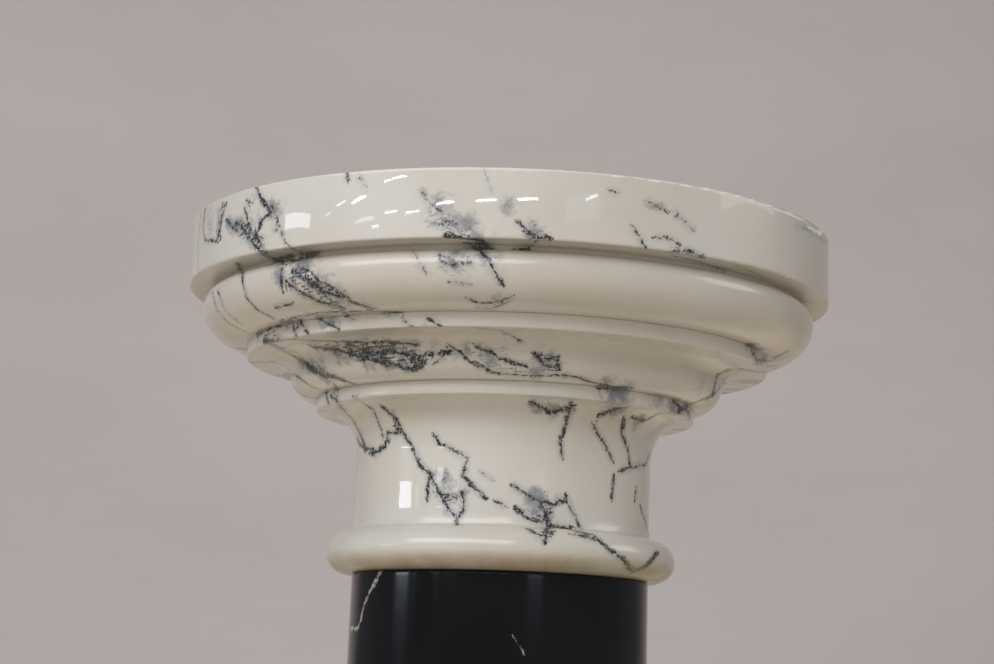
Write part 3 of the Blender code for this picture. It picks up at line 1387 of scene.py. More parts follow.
@dataclass
class Shaft(TurnedPiece):
    """The black shaft, which swells a little towards its foot."""

    foot: float = 0.1313
    length: float = 0.7700
    top_radius: float = 0.0641
    foot_radius: float = 0.0686
    ease: float = 0.0008

    SEEN_STEP = 0.0013
    SEEN_ROWS = 65
    LOWER_ROWS = 110
    STEPS = (240, 144)

    def outline(self) -> Outline:
        """Draws the shaft's half outline, with finer rows where the photograph shows it.

        Returns:
            The outline.
        """
        top = self.foot + self.length
        shape = Outline(0.0, top)
        shape.line(self.top_radius - self.ease, top, 0.03)
        shape.quarter(self.top_radius, top - self.ease, False, 3)
        heights = [top - self.SEEN_STEP * index for index in range(1, self.SEEN_ROWS + 1)]
        rest = heights[-1] - self.foot - self.ease
        heights += [heights[-1] - rest * index / self.LOWER_ROWS for index in range(1, self.LOWER_ROWS + 1)]
        for height in heights:
            down = (top - height) / self.length
            swell = (self.foot_radius - self.top_radius) * math.sin(math.pi / 2 * down)
            shape.points.append((self.top_radius + swell, height))
        shape.quarter(self.foot_radius - self.ease, self.foot, True, 3)
        return shape.line(0.0, self.foot, 0.03)


@dataclass
class Base(TurnedPiece):
    """The white turned base, which the photograph doesn't show."""

    foot: float = 0.0423
    ring_projection: float = 0.0114
    ring_height: float = 0.0177
    shaft_radius: float = 0.0686
    neck_step: float = 0.0012
    cavetto_height: float = 0.0200
    cavetto_projection: float = 0.0190
    fillet_height: float = 0.0060
    fillet_step: float = 0.0065
    torus_height: float = 0.0280
    torus_seat: float = 0.0120
    torus_projection: float = 0.0140
    disc_height: float = 0.0170
    disc_step: float = 0.0080

    ROW = 0.0016

    def outline(self) -> Outline:
        """Draws the base's half outline.

        Returns:
            The outline.
        """
        torus_bottom = self.foot + self.disc_height
        fillet_bottom = torus_bottom + self.torus_height
        cavetto_bottom = fillet_bottom + self.fillet_height
        ring_bottom = cavetto_bottom + self.cavetto_height
        top = ring_bottom + self.ring_height
        seat = self.shaft_radius
        neck = seat + self.neck_step
        cavetto = neck + self.cavetto_projection
        fillet = cavetto + self.fillet_step
        torus_seat = fillet + self.torus_seat
        torus = torus_seat + self.torus_projection
        shape = Outline(0.0, top)
        shape.line(seat, top, 0.03)
        middle = (top + ring_bottom) / 2
        shape.quarter(seat + self.ring_projection, middle, False, 14)
        shape.quarter(seat, ring_bottom, True, 14)
        shape.line(neck, ring_bottom)
        shape.quarter(cavetto, cavetto_bottom, True, 18)
        shape.band(fillet, cavetto_bottom, fillet_bottom, 0.0007, self.ROW)
        shape.line(torus_seat, fillet_bottom, self.ROW)
        shape.quarter(torus, (fillet_bottom + torus_bottom) / 2, False, 14)
        shape.quarter(torus_seat, torus_bottom, True, 14)
        shape.band(torus + self.disc_step, torus_bottom, self.foot, 0.0010, self.ROW)
        return shape.line(0.0, self.foot, 0.05)


@dataclass
class Plinth(Piece):
    """The square black plinth under the base."""

    width: float = 0.2900
    height: float = 0.0420
    chamfer: float = 0.0025

    COLUMNS = 72
    ROWS = 10
    VEINS = 9
    VEIN_STEPS = 90
    VEIN_STEP = 0.003
    VEIN_BEND = 0.25
    VEIN_WEIGHT = (0.3, 0.7)
    VEIN_WIDTH = (0.15, 0.4)
    VEIN_CLOUD = (0.0, 0.3)

    def build(self, draw: random.Random) -> None:
        """Builds and dresses the plinth.

        Args:
            draw: The source of chance.
        """
        mesh = bmesh.new()
        bmesh.ops.create_cube(mesh, size=1.0)
        bmesh.ops.scale(mesh, vec=(self.width, self.width, self.height), verts=mesh.verts)
        bmesh.ops.translate(mesh, vec=(0, 0, self.height / 2), verts=mesh.verts)
        bmesh.ops.bevel(mesh, geom=mesh.edges[:], offset=self.chamfer, offset_type="OFFSET", segments=3,
                        profile=0.5, affect="EDGES", material=-1, clamp_overlap=True)
        edge = self.width / 2
        for axis, low, high, count in ((0, -edge, edge, self.COLUMNS), (1, -edge, edge, self.COLUMNS),
                                       (2, 0.0, self.height, self.ROWS)):
            normal = Vector((0.0, 0.0, 0.0))
            normal[axis] = 1.0
            for index in range(1, count):
                along = low + self.chamfer + (high - low - 2 * self.chamfer) * index / count
                bmesh.ops.bisect_plane(mesh, geom=mesh.verts[:] + mesh.edges[:] + mesh.faces[:], dist=1e-7,
                                       plane_co=normal * along, plane_no=normal)
        bmesh.ops.recalc_face_normals(mesh, faces=mesh.faces)
        veins = VeinField()
        for _ in range(self.VEINS):
            start = Vector((draw.uniform(-1, 1), draw.uniform(-1, 1), 0)) * self.width / 2
            heading = draw.uniform(0, math.tau)
            places = []
            for _ in range(self.VEIN_STEPS):
                heading += draw.uniform(-self.VEIN_BEND, self.VEIN_BEND)
                start = start + Vector((math.cos(heading), math.sin(heading), 0)) * self.VEIN_STEP
                inside = Vector((max(-edge, min(edge, start.x)), max(-edge, min(edge, start.y)), 0))
                over = (start - inside).length
                places.append(Vector((inside.x, inside.y, max(0.0, self.height - over))))
            veins.lay(places, draw.uniform(*self.VEIN_WEIGHT), draw.uniform(*self.VEIN_WIDTH),
                      draw.uniform(*self.VEIN_CLOUD))
        self.finish(mesh, None, None, veins)


# Studio.


@dataclass(frozen=True)
class Gleam:
    """A strip light, placed so that its reflection falls where the photograph shows one.

    Attributes:
        name: The light's name.
        left: Picture point of the reflection's left end.
        right: Picture point of its right end.
        thick: Its height in pixels.
        radiance: How bright it is.
    """

    name: str
    left: PicturePoint
    right: PicturePoint
    thick: float
    radiance: float

    DISTANCE = 3.2
    COLOUR = (0.80, 0.90, 1.0)

    def build(self, view: Viewpoint, surface: BVHTree) -> None:
        """Makes the light.

        Args:
            view: The camera.
            surface: The faces that show the reflection.
        """
        ends = []
        for point in (self.left, self.right):
            place = view.hit(surface, point)
            if place is None:
                LOG.warning("no reflection for %s", self.name)
                return
            upright = Vector((place.x, place.y, 0.0)).normalized()
            sight = view.ray(point)
            ends.append(place + (sight - upright * (2 * sight.dot(upright))) * self.DISTANCE)
        height = self.thick / view.focal * (self.DISTANCE + CAMERA_DISTANCE)
        centre = (ends[0] + ends[1]) / 2
        facing = Vector((centre.x, centre.y, 0.0)).normalized()
        across = (ends[1] - ends[0]) - facing * (ends[1] - ends[0]).dot(facing)
        size = (across.length, height)
        across.normalize()
        turned = Matrix((across, facing.cross(across), facing)).transposed()
        light = add_light(self.name, centre, -facing, size, self.radiance, self.COLOUR)
        light.rotation_euler = turned.to_euler()


def add_light(name: str, centre: Vector, towards: Vector, size: tuple[float, float], radiance: float,
              colour: Colour) -> bpy.types.Object:
    """Makes a rectangular area light that the camera doesn't see.

    Args:
        name: Its name.
        centre: Its middle.
        towards: The direction in which it shines.
        size: Width and height.
        radiance: How bright its face is.
        colour: Its colour.

    Returns:
        The light's object.
    """
    data = bpy.data.lights.new(name, "AREA")
    data.shape = "RECTANGLE"
    data.size, data.size_y = size
    data.energy = radiance * math.pi * size[0] * size[1]
    data.color = colour
    light = bpy.data.objects.new(name, data)
    light.location = centre
    light.rotation_euler = towards.to_track_quat("-Z", "Y").to_euler()
    light.visible_camera = False
    bpy.context.scene.collection.objects.link(light)
    return light


COOL_WHITE = (1.0, 0.985, 0.995)


@dataclass(frozen=True)
class SoftLight:
    """A large soft light of the studio.

    Attributes:
        name: Its name.
        place: Its middle.
        size: Width and height.
        radiance: How bright its face is.
        colour: Its colour.
        on_wall: Whether it is turned to the wall rather than to the column.
        glossy: Whether the stone mirrors it.
    """

    name: str
    place: tuple[float, float, float]
    size: tuple[float, float]
    radiance: float
    colour: Colour
    on_wall: bool = False
    glossy: bool = True


SOFT_LIGHTS = (
    SoftLight("roof_light", (-0.4, -0.6, 4.8), (4.0, 3.0), 1.15, (1.0, 0.985, 0.96)),
    SoftLight("hall_light", (-2.1, -3.8, 3.5), (6.6, 1.9), 3.3, (0.995, 0.985, 0.99)),
    SoftLight("right_light", (4.6, 0.0, 3.0), (2.4, 1.8), 2.0, (1.0, 0.955, 0.88)),
    SoftLight("fill_light", (-0.3, -3.6, 0.5), (5.0, 0.9), 1.0, (1.0, 0.965, 0.91), glossy=False),
    SoftLight("wall_light_left", (-3.9, 2.6, 2.2), (1.6, 3.0), 3.1, COOL_WHITE, on_wall=True, glossy=False),
    SoftLight("wall_light_right", (1.6, 1.2, 2.2), (1.2, 2.0), 6.5, COOL_WHITE, on_wall=True, glossy=False),
    SoftLight("wall_light_middle", (0.0, 0.9, 1.2), (1.2, 0.9), 7.2, COOL_WHITE, on_wall=True, glossy=False),
)


@dataclass
class Studio:
    """A plain pale floor, a plain wall and soft light."""

    wall_distance: float = 6.0
    wall_width: float = 16.0
    wall_height: float = 9.0
    floor_size: float = 16.0
    ambient: Colour = (0.140, 0.142, 0.148)

    CAPITAL_MIDDLE = Vector((0, 0, 0.95))
    WALL_MIDDLE_HEIGHT = 1.9

    def surround(self, name: str, size: tuple[float, float], place: Vector, upright: bool,
                 material: bpy.types.Material) -> None:
        """Makes a flat staged surface.

        Args:
            name: Its name.
            size: Its two sides.
            place: Its middle.
            upright: Whether it stands.
            material: Its finish.
        """
        mesh = bmesh.new()
        bmesh.ops.create_grid(mesh, x_segments=8, y_segments=8, size=0.5)
        bmesh.ops.scale(mesh, vec=(size[0], size[1], 1.0), verts=mesh.verts)
        if upright:
            quarter_turn = Matrix.Rotation(math.pi / 2, 3, "X")
            bmesh.ops.rotate(mesh, cent=(0, 0, 0), matrix=quarter_turn, verts=mesh.verts)
        bmesh.ops.translate(mesh, vec=place, verts=mesh.verts)
        new_object(name, mesh, material)

    def build(self, view: Viewpoint, surface: BVHTree, gleams: tuple[Gleam, ...]) -> None:
        """Builds the surroundings and the lights.

        Args:
            view: The camera.
            surface: The capital's faces, for placing the strip lights.
            gleams: The strip lights.
        """
        wall = PaintedWall("wall_paint", (0.560, 0.525, 0.520), (0.520, 0.485, 0.480), 0.9).build()
        floor = PaintedWall("floor_paint", (0.62, 0.53, 0.41), (0.57, 0.48, 0.37), 1.4).build()
        middle = Vector((0, self.wall_distance, self.wall_height / 2))
        self.surround("wall", (self.wall_width, self.wall_height), middle, True, wall)
        self.surround("floor", (self.floor_size, self.floor_size), Vector((0, 0, 0)), False, floor)
        world = bpy.data.worlds.new("soft_room")
        bpy.context.scene.world = world
        world.use_nodes = True
        world.node_tree.nodes["Background"].inputs["Color"].default_value = (*self.ambient, 1.0)
        wall_target = Vector((0.0, self.wall_distance, self.WALL_MIDDLE_HEIGHT))
        for soft in SOFT_LIGHTS:
            place = Vector(soft.place)
            aim = wall_target if soft.on_wall else self.CAPITAL_MIDDLE
            light = add_light(soft.name, place, aim - place, soft.size, soft.radiance, soft.colour)
            light.visible_glossy = soft.glossy
        for gleam in gleams:
            gleam.build(view, surface)


# What the photograph shows, in its pixels.

CAPITAL_VEINS = (
    Vein("disc_fork_stem", ((257, 191), (264, 202), (270, 212)), 0.9, 0.5, 0.5),
    Vein("disc_fork_left", ((270, 212), (263, 219), (258, 230)), 1.0, 0.65, 0.5),
    Vein("disc_fork_right", ((270, 212), (280, 228), (287, 246), (302, 253)), 0.45, 0.35, 0.5),
    Vein("disc_left_hook", ((205, 209), (203, 227), (205, 240), (218, 240)), 0.7, 0.45, 0.4),
    Vein("disc_left_second", ((222, 208), (220, 226), (218, 237)), 0.8, 0.5, 0.5),
    Vein("disc_left_end", ((201, 213), (198, 243), (198, 272)), 0.5, 0.22, 0.1),
    Vein("disc_left_slant", ((228, 221), (238, 232), (252, 242), (265, 256), (284, 263)), 0.9, 0.5, 1.0),
    Vein("disc_left_inner", ((245, 213), (250, 227), (254, 239)), 0.7, 0.35, 0.8),
    Vein("disc_left_foot", ((260, 248), (274, 259), (296, 261), (318, 253)), 0.9, 0.6, 0.9),
    Vein("disc_left_dot", ((248, 200), (252, 202)), 0.5, 0.4, 0.1),
    Vein("rim_crack", ((795, 226), (806, 228), (816, 235), (828, 243)), 0.4, 0.25, 0.0),
    Vein("disc_spot_one", ((347, 173), (348, 180)), 0.6, 0.45, 0.1),
    Vein("disc_spot_two", ((360, 178), (365, 185)), 0.4, 0.4, 0.2),
    Vein("disc_middle_slant", ((425, 196), (436, 208), (448, 220), (464, 231)), 0.40, 0.35, 0.8),
    Vein("disc_middle_side", ((432, 222), (444, 225), (458, 232)), 0.5, 0.3, 0.7),
    Vein("disc_middle_knot", ((450, 236), (466, 239), (480, 240), (492, 250)), 1.0, 0.85, 1.0),
    Vein("disc_middle_high", ((484, 170), (488, 184), (492, 192)), 0.25, 0.3, 0.2),
    Vein("disc_middle_pale", ((505, 203), (512, 208)), 0.25, 0.5, 0.3),
    Vein("disc_middle_right", ((520, 224), (529, 231), (538, 238), (549, 237)), 0.9, 0.55, 0.5),
    Vein("disc_right_high", ((613, 191), (618, 193)), 0.5, 0.3, 0.2),
    Vein("disc_right_slant", ((649, 201), (658, 207), (666, 211)), 0.45, 0.3, 0.6),
    Vein("disc_right_slant_low", ((677, 215), (685, 222), (693, 231)), 0.5, 0.3, 0.5),
    Vein("disc_right_drop", ((634, 229), (639, 238), (645, 248)), 0.6, 0.35, 0.3),
    Vein("disc_right_foot", ((657, 237), (668, 238), (681, 246)), 0.6, 0.35, 0.3),
    Vein("disc_right_knot", ((672, 252), (692, 251), (703, 258)), 0.7, 0.5, 0.4),
    Vein("ovolo_left_hook", ((238, 263), (242, 273), (243, 284),
                             (247, 298), (257, 310), (275, 319)), 0.9, 0.38, 0.2),
    Vein("ovolo_left_high", ((282, 266), (280, 277), (283, 290)), 0.9, 0.4, 0.6),
    Vein("ovolo_left_thin", ((218, 292), (225, 310), (239, 323)), 0.6, 0.25, 0.05),
    Vein("ovolo_left_outer", ((212, 293), (217, 310), (228, 323), (248, 333)), 0.6, 0.25, 0.05),
    Vein("ovolo_cluster_first", ((295, 272), (307, 283), (325, 292), (343, 298)), 1.0, 0.8, 1.0),
    Vein("ovolo_cluster_second", ((305, 269), (318, 280), (336, 288),
                                  (352, 302), (374, 309)), 0.9, 0.45, 0.9),
    Vein("ovolo_cluster_third", ((288, 283), (302, 293), (318, 301), (343, 308)), 0.9, 0.5, 0.9),
    Vein("ovolo_left_mark", ((277, 307), (292, 303)), 0.6, 0.35, 0.3),
    Vein("ovolo_faint", ((414, 250), (419, 260), (424, 272)), 0.45, 0.4, 0.6),
    Vein("ovolo_middle", ((440, 254), (450, 260), (466, 264)), 0.5, 0.4, 0.7),
    Vein("ovolo_middle_dot", ((453, 282), (468, 284)), 0.5, 0.4, 0.2),
    Vein("ovolo_middle_slant", ((490, 262), (494, 272), (502, 284)), 0.9, 0.45, 0.4),
    Vein("ovolo_loops", ((470, 300), (482, 304), (497, 302), (512, 297)), 0.8, 0.35, 0.5),
    Vein("ovolo_loops_low", ((480, 308), (492, 309), (510, 301)), 0.6, 0.3, 0.4),
    Vein("ovolo_right_high", ((517, 250), (528, 249), (538, 240)), 0.7, 0.4, 0.3),
    Vein("ovolo_right_end", ((750, 344), (756, 360), (770, 361), (786, 352)), 0.8, 0.6, 0.8),
    Vein("ovolo_foot_line", ((258, 334), (272, 327), (296, 317),
                             (326, 312), (372, 311), (400, 312)), 0.9, 0.4, 0.6),
    Vein("fillet_tick_one", ((275, 328), (282, 319)), 0.8, 0.4, 0.5),
    Vein("fillet_tick_two", ((291, 320), (296, 334)), 0.8, 0.45, 0.5),
    Vein("fillet_tick_three", ((299, 320), (307, 332)), 0.8, 0.45, 0.5),
    Vein("fillet_tick_four", ((316, 316), (326, 323), (337, 328)), 0.8, 0.4, 0.5),
    Vein("fillet_tick_five", ((340, 312), (353, 319)), 0.7, 0.35, 0.3),
    Vein("fillet_tick_six", ((404, 321), (413, 327)), 0.6, 0.35, 0.2),
    Vein("fillet_tick_seven", ((432, 320), (439, 325)), 0.7, 0.4, 0.2),
    Vein("cyma_streak_top", ((268, 342), (295, 339), (320, 341),
                             (352, 342), (386, 342), (416, 345)), 0.9, 0.5, 0.8),
    Vein("cyma_streak_core", ((312, 346), (336, 350), (360, 357),
                              (386, 363), (412, 369), (423, 362)), 1.0, 0.9, 1.0),
    Vein("cyma_streak_mid", ((350, 346), (372, 352), (392, 351), (419, 358)), 1.0, 0.9, 1.0),
    Vein("cyma_middle", ((430, 354), (445, 352), (463, 352)), 0.9, 0.5, 0.7),
    Vein("cyma_middle_tick", ((436, 361), (448, 350)), 0.7, 0.35, 0.3),
    Vein("cyma_slant_one", ((451, 347), (468, 359), (490, 371)), 0.9, 0.5, 0.6),
    Vein("cyma_slant_two", ((477, 346), (491, 353), (504, 360), (524, 366)), 0.9, 0.55, 0.6),
    Vein("cyma_hollow_spots", ((480, 328), (502, 331), (522, 341)), 0.6, 0.4, 0.5),
    Vein("cyma_right_curl", ((536, 356), (546, 366), (558, 366), (556, 358), (545, 359)), 0.9, 0.5, 0.8),
    Vein("cyma_low_line", ((480, 367), (500, 374), (528, 376), (555, 375),
                           (574, 377), (600, 384), (620, 388)),
         0.9, 0.4, 0.5),
    Vein("cyma_left_band", ((265, 340), (285, 351), (302, 361),
                            (318, 373), (336, 378), (354, 384)), 1.0, 0.8, 0.9),
    Vein("cyma_left_lower", ((285, 372), (298, 377), (312, 387), (325, 391), (328, 402)), 0.8, 0.4, 0.3),
    Vein("fillet_left_drop", ((335, 386), (339, 402)), 0.7, 0.4, 0.2),
    Vein("cyma_right_swirl", ((760, 372), (739, 369), (724, 371), (717, 376),
                              (712, 396), (688, 405), (674, 415)),
         0.9, 0.6, 0.7),
    Vein("cyma_right_inner", ((756, 382), (736, 381), (722, 384), (714, 396)), 0.7, 0.5, 0.7),
    Vein("fillet_right_haze", ((602, 386), (616, 387), (631, 388)), 0.7, 0.6, 1.0),
    Vein("fillet_right_foot", ((602, 414), (614, 409), (628, 407)), 0.9, 0.6, 0.8),
    Vein("fillet_right_knot", ((634, 418), (645, 420), (658, 414)), 0.9, 0.6, 0.6),
    Vein("fillet_far_knot", ((675, 403), (682, 409), (690, 413)), 0.9, 0.5, 0.5),
    Vein("neck_left_long", ((332, 396), (342, 408), (353, 420), (362, 437),
                            (366, 448), (377, 453), (385, 447),
                            (388, 433), (403, 432), (412, 447), (421, 465), (430, 474), (428, 498)),
         1.0, 0.5, 0.4),
    Vein("neck_left_blob", ((383, 407), (393, 415), (403, 432)), 1.0, 0.7, 0.4),
    Vein("neck_left_inner", ((355, 398), (373, 410), (382, 430), (385, 446)), 0.6, 0.35, 0.3),
    Vein("neck_left_side", ((357, 446), (358, 460), (357, 474)), 0.5, 0.3, 0.1),
    Vein("neck_dot", ((435, 437), (439, 443)), 0.9, 0.45, 0.1),
    Vein("neck_tick", ((447, 447), (456, 452), (467, 457)), 0.7, 0.35, 0.2),
    Vein("neck_fall", ((466, 464), (464, 476), (473, 487), (485, 497)), 0.9, 0.45, 0.4),
    Vein("neck_fall_dot", ((484, 474), (491, 479)), 0.6, 0.35, 0.1),
    Vein("neck_fall_end", ((498, 503), (504, 507)), 0.7, 0.35, 0.1),
    Vein("neck_vee_left", ((440, 492), (450, 510), (458, 521)), 1.0, 0.5, 0.6),
    Vein("neck_vee_right", ((458, 521), (464, 506), (462, 494)), 1.0, 0.5, 0.6),
    Vein("neck_vee_top", ((430, 474), (440, 493), (456, 498)), 0.7, 0.35, 0.8),
    Vein("neck_left_hook", ((358, 440), (364, 449), (377, 453), (385, 447), (389, 435)), 1.0, 0.8, 0.5),
    Vein("disc_left_tip", ((225, 207), (218, 227), (220, 237)), 0.7, 0.45, 0.7),
    Vein("disc_left_fold", ((245, 210), (247, 220), (252, 232)), 0.7, 0.45, 0.8),
    Vein("disc_fork_low", ((273, 210), (277, 220), (276, 229)), 0.6, 0.35, 0.6),
    Vein("disc_left_mesh", ((238, 224), (246, 233), (256, 236), (262, 248)), 0.8, 0.5, 1.0),
    Vein("disc_middle_mesh", ((440, 210), (452, 222), (470, 228), (482, 240)), 0.35, 0.4, 0.9),
    Vein("disc_middle_foot", ((468, 243), (480, 250), (490, 262)), 0.9, 0.9, 0.9),
    Vein("ovolo_middle_cloud", ((444, 262), (456, 266), (468, 262)), 0.6, 0.5, 1.0),
    Vein("under_disc_smear", ((676, 256), (700, 262), (726, 270)), 0.5, 0.5, 0.5),
    Vein("under_disc_far", ((738, 266), (752, 272), (768, 280)), 0.35, 0.5, 0.3),
    Vein("neck_star_arm", ((515, 487), (527, 495), (540, 500), (553, 505), (567, 498)), 1.0, 0.5, 0.7),
    Vein("neck_star_drop", ((540, 500), (545, 513), (547, 527), (545, 541)), 1.0, 0.75, 0.8),
    Vein("neck_long_vein", ((518, 510), (533, 520), (547, 525), (573, 530),
                            (593, 535), (607, 547), (623, 560)),
         1.0, 0.6, 0.4),
    Vein("neck_long_twin", ((573, 534), (586, 538), (601, 541)), 0.8, 0.4, 0.3),
    Vein("neck_long_foot", ((530, 530), (540, 537), (553, 531)), 0.9, 0.5, 0.4),
    Vein("neck_fork", ((567, 498), (573, 513), (582, 531)), 0.9, 0.4, 0.2),
    Vein("neck_top_clump", ((533, 404), (553, 413), (573, 406)), 0.8, 0.6, 0.9),
    Vein("neck_top_drop", ((570, 404), (567, 420), (563, 433)), 0.9, 0.5, 0.5),
    Vein("neck_drop_low", ((560, 441), (562, 457)), 0.9, 0.35, 0.1),
    Vein("neck_right_slant", ((593, 426), (603, 442), (613, 461)), 0.9, 0.38, 0.2),
    Vein("neck_right_long", ((623, 420), (622, 434), (628, 450), (630, 467), (620, 471)), 1.0, 0.5, 0.4),
    Vein("neck_right_link", ((630, 467), (645, 465), (650, 454)), 0.8, 0.35, 0.2),
    Vein("neck_right_drop", ((614, 479), (612, 498)), 0.9, 0.5, 0.2),
    Vein("neck_right_dot", ((636, 491), (635, 499)), 0.7, 0.35, 0.1),
    Vein("neck_right_edge", ((641, 508), (645, 520), (648, 533)), 0.7, 0.35, 0.2),
    Vein("ring_vein", ((623, 560), (633, 572), (645, 567), (658, 552)), 1.0, 0.6, 0.3),
)

CAPITAL_SMOKE = (
    Smoke((243, 228), 9.0, 0.9), Smoke((262, 214), 6.0, 0.6), Smoke((270, 254), 8.0, 0.9),
    Smoke((302, 262), 8.0, 0.7), Smoke((318, 286), 10.0, 1.0), Smoke((338, 299), 8.0, 0.8),
    Smoke((288, 326), 6.0, 0.8), Smoke((325, 316), 7.0, 0.7), Smoke((345, 350), 8.0, 1.0),
    Smoke((375, 355), 9.0, 1.0), Smoke((405, 362), 7.0, 0.9), Smoke((310, 364), 7.0, 0.9),
    Smoke((452, 214), 10.0, 0.65), Smoke((470, 238), 9.0, 0.9), Smoke((449, 258), 8.0, 0.55),
    Smoke((418, 260), 6.0, 0.45), Smoke((365, 182), 6.0, 0.35), Smoke((538, 238), 6.0, 0.6),
    Smoke((508, 206), 5.0, 0.9), Smoke((440, 353), 7.0, 0.7), Smoke((465, 352), 7.0, 0.7),
    Smoke((502, 356), 8.0, 0.65), Smoke((548, 362), 7.0, 0.85), Smoke((515, 374), 6.0, 0.5),
    Smoke((590, 381), 6.0, 0.5), Smoke((617, 392), 9.0, 1.1), Smoke((640, 408), 7.0, 0.7),
    Smoke((684, 408), 6.0, 0.8), Smoke((724, 380), 7.0, 0.75), Smoke((768, 357), 7.0, 0.7),
    Smoke((492, 301), 6.0, 0.5), Smoke((445, 482), 7.0, 0.9), Smoke((462, 492), 5.0, 0.7),
    Smoke((537, 498), 6.0, 1.3), Smoke((545, 518), 5.0, 1.2), Smoke((362, 438), 5.0, 0.6),
    Smoke((393, 416), 4.0, 0.7), Smoke((553, 409), 7.0, 0.8), Smoke((571, 410), 5.0, 0.8),
    Smoke((625, 413), 7.0, 0.8), Smoke((598, 538), 4.0, 0.5), Smoke((652, 560), 4.0, 0.5),
    Smoke((210, 225), 8.0, 0.7), Smoke((222, 214), 7.0, 0.8), Smoke((272, 210), 7.0, 0.9),
    Smoke((278, 275), 6.0, 0.9), Smoke((252, 240), 7.0, 0.9), Smoke((350, 312), 7.0, 0.8),
    Smoke((330, 325), 6.0, 0.9), Smoke((300, 357), 8.0, 1.0), Smoke((322, 372), 8.0, 1.0),
    Smoke((436, 206), 8.0, 0.9), Smoke((462, 226), 8.0, 1.0), Smoke((482, 245), 8.0, 1.0),
    Smoke((456, 260), 9.0, 0.9), Smoke((492, 254), 8.0, 0.8), Smoke((497, 300), 7.0, 0.7),
    Smoke((528, 248), 7.0, 0.8), Smoke((425, 322), 6.0, 0.6), Smoke((490, 356), 8.0, 0.9),
    Smoke((535, 374), 8.0, 0.8), Smoke((606, 384), 7.0, 0.9), Smoke((612, 408), 7.0, 0.9),
    Smoke((655, 398), 8.0, 0.8), Smoke((700, 390), 7.0, 0.6), Smoke((692, 254), 5.0, 0.6),
    Smoke((772, 272), 6.0, 0.25), Smoke((776, 360), 6.0, 0.8), Smoke((535, 505), 7.0, 1.3),
    Smoke((700, 262), 5.0, 0.5), Smoke((792, 290), 6.0, 0.6), Smoke((808, 302), 6.0, 0.5),
    Smoke((756, 350), 6.0, 1.0), Smoke((775, 357), 6.0, 0.9), Smoke((672, 408), 6.0, 1.2),
    Smoke((690, 412), 6.0, 1.0), Smoke((774, 328), 5.0, 0.5), Smoke((640, 420), 6.0, 1.0),
    Smoke((618, 412), 6.0, 1.0), Smoke((533, 232), 7.0, 0.9), Smoke((302, 264), 9.0, 1.0),
)

SHAFT_VEINS = (
    Vein("shaft_vein", ((379, 573), (371, 590), (364, 606),
                        (361, 620), (357, 629), (350, 628)), 1.0, 0.55, 0.1),
    Vein("shaft_scratch", ((515, 640), (525, 655)), 0.6, 0.10, 0.0),
)

RIM_CHIPS = (
    Chip((790, 219), DiscEdge.TOP, 0.0520, 0.0026, 0.0022),
    Chip((814, 232), DiscEdge.TOP, 0.0300, 0.0042, 0.0034),
    Chip((748, 201), DiscEdge.TOP, 0.0090, 0.0020, 0.0018),
    Chip((764, 206), DiscEdge.TOP, 0.0140, 0.0024, 0.0020),
    Chip((735, 197), DiscEdge.TOP, 0.0070, 0.0016, 0.0016),
    Chip((722, 194), DiscEdge.TOP, 0.0080, 0.0015, 0.0014),
    Chip((705, 190), DiscEdge.TOP, 0.0070, 0.0014, 0.0014),
    Chip((686, 187), DiscEdge.TOP, 0.0060, 0.0013, 0.0013),
    Chip((655, 182), DiscEdge.TOP, 0.0060, 0.0012, 0.0012),
    Chip((670, 184), DiscEdge.TOP, 0.0070, 0.0011, 0.0011),
    Chip((778, 212), DiscEdge.TOP, 0.0080, 0.0018, 0.0016),
    Chip((640, 179), DiscEdge.TOP, 0.0050, 0.0009, 0.0010),
    Chip((618, 176), DiscEdge.TOP, 0.0050, 0.0013, 0.0013),
    Chip((560, 171), DiscEdge.TOP, 0.0050, 0.0006, 0.0008),
    Chip((513, 169), DiscEdge.TOP, 0.0040, 0.0008, 0.0010),
    Chip((727, 258), DiscEdge.BOTTOM, 0.0040, 0.0010, 0.0010),
    Chip((740, 261), DiscEdge.BOTTOM, 0.0050, 0.0012, 0.0010),
    Chip((760, 266), DiscEdge.BOTTOM, 0.0040, 0.0008, 0.0008),
    Chip((792, 276), DiscEdge.BOTTOM, 0.0080, 0.0020, 0.0014),
)

CAPITAL_STREAMS = (
    Stream(100.0, 0.42, 0.80, 40.0, 7, 0.9),
    Stream(135.0, 0.36, 0.62, 35.0, 8, 1.0),
    Stream(160.0, 0.60, 0.90, -25.0, 6, 0.7),
    Stream(185.0, 0.38, 0.75, 45.0, 9, 1.0),
    Stream(220.0, 0.55, 0.92, 30.0, 7, 0.9),
    Stream(250.0, 0.38, 0.66, 20.0, 6, 0.9),
    Stream(20.0, 0.12, 0.22, 80.0, 5, 0.7),
    Stream(140.0, 0.12, 0.22, 70.0, 6, 0.8),
    Stream(250.0, 0.10, 0.20, 90.0, 6, 0.8),
)

SHAFT_STREAMS = (
    Stream(150.0, 0.12, 0.45, 60.0, 2, 0.15),
    Stream(250.0, 0.30, 0.75, -50.0, 2, 0.1),
    Stream(20.0, 0.45, 0.80, 45.0, 2, 0.1),
    Stream(330.0, 0.25, 0.45, 30.0, 1, 0.1),
)

BASE_STREAMS = (
    Stream(10.0, 0.30, 0.62, 50.0, 6, 0.9),
    Stream(70.0, 0.42, 0.70, 30.0, 5, 0.8),
    Stream(130.0, 0.30, 0.60, 40.0, 6, 0.9),
    Stream(200.0, 0.35, 0.66, -35.0, 6, 0.8),
    Stream(260.0, 0.32, 0.70, 45.0, 5, 0.9),
    Stream(320.0, 0.34, 0.62, 30.0, 5, 0.9),
)

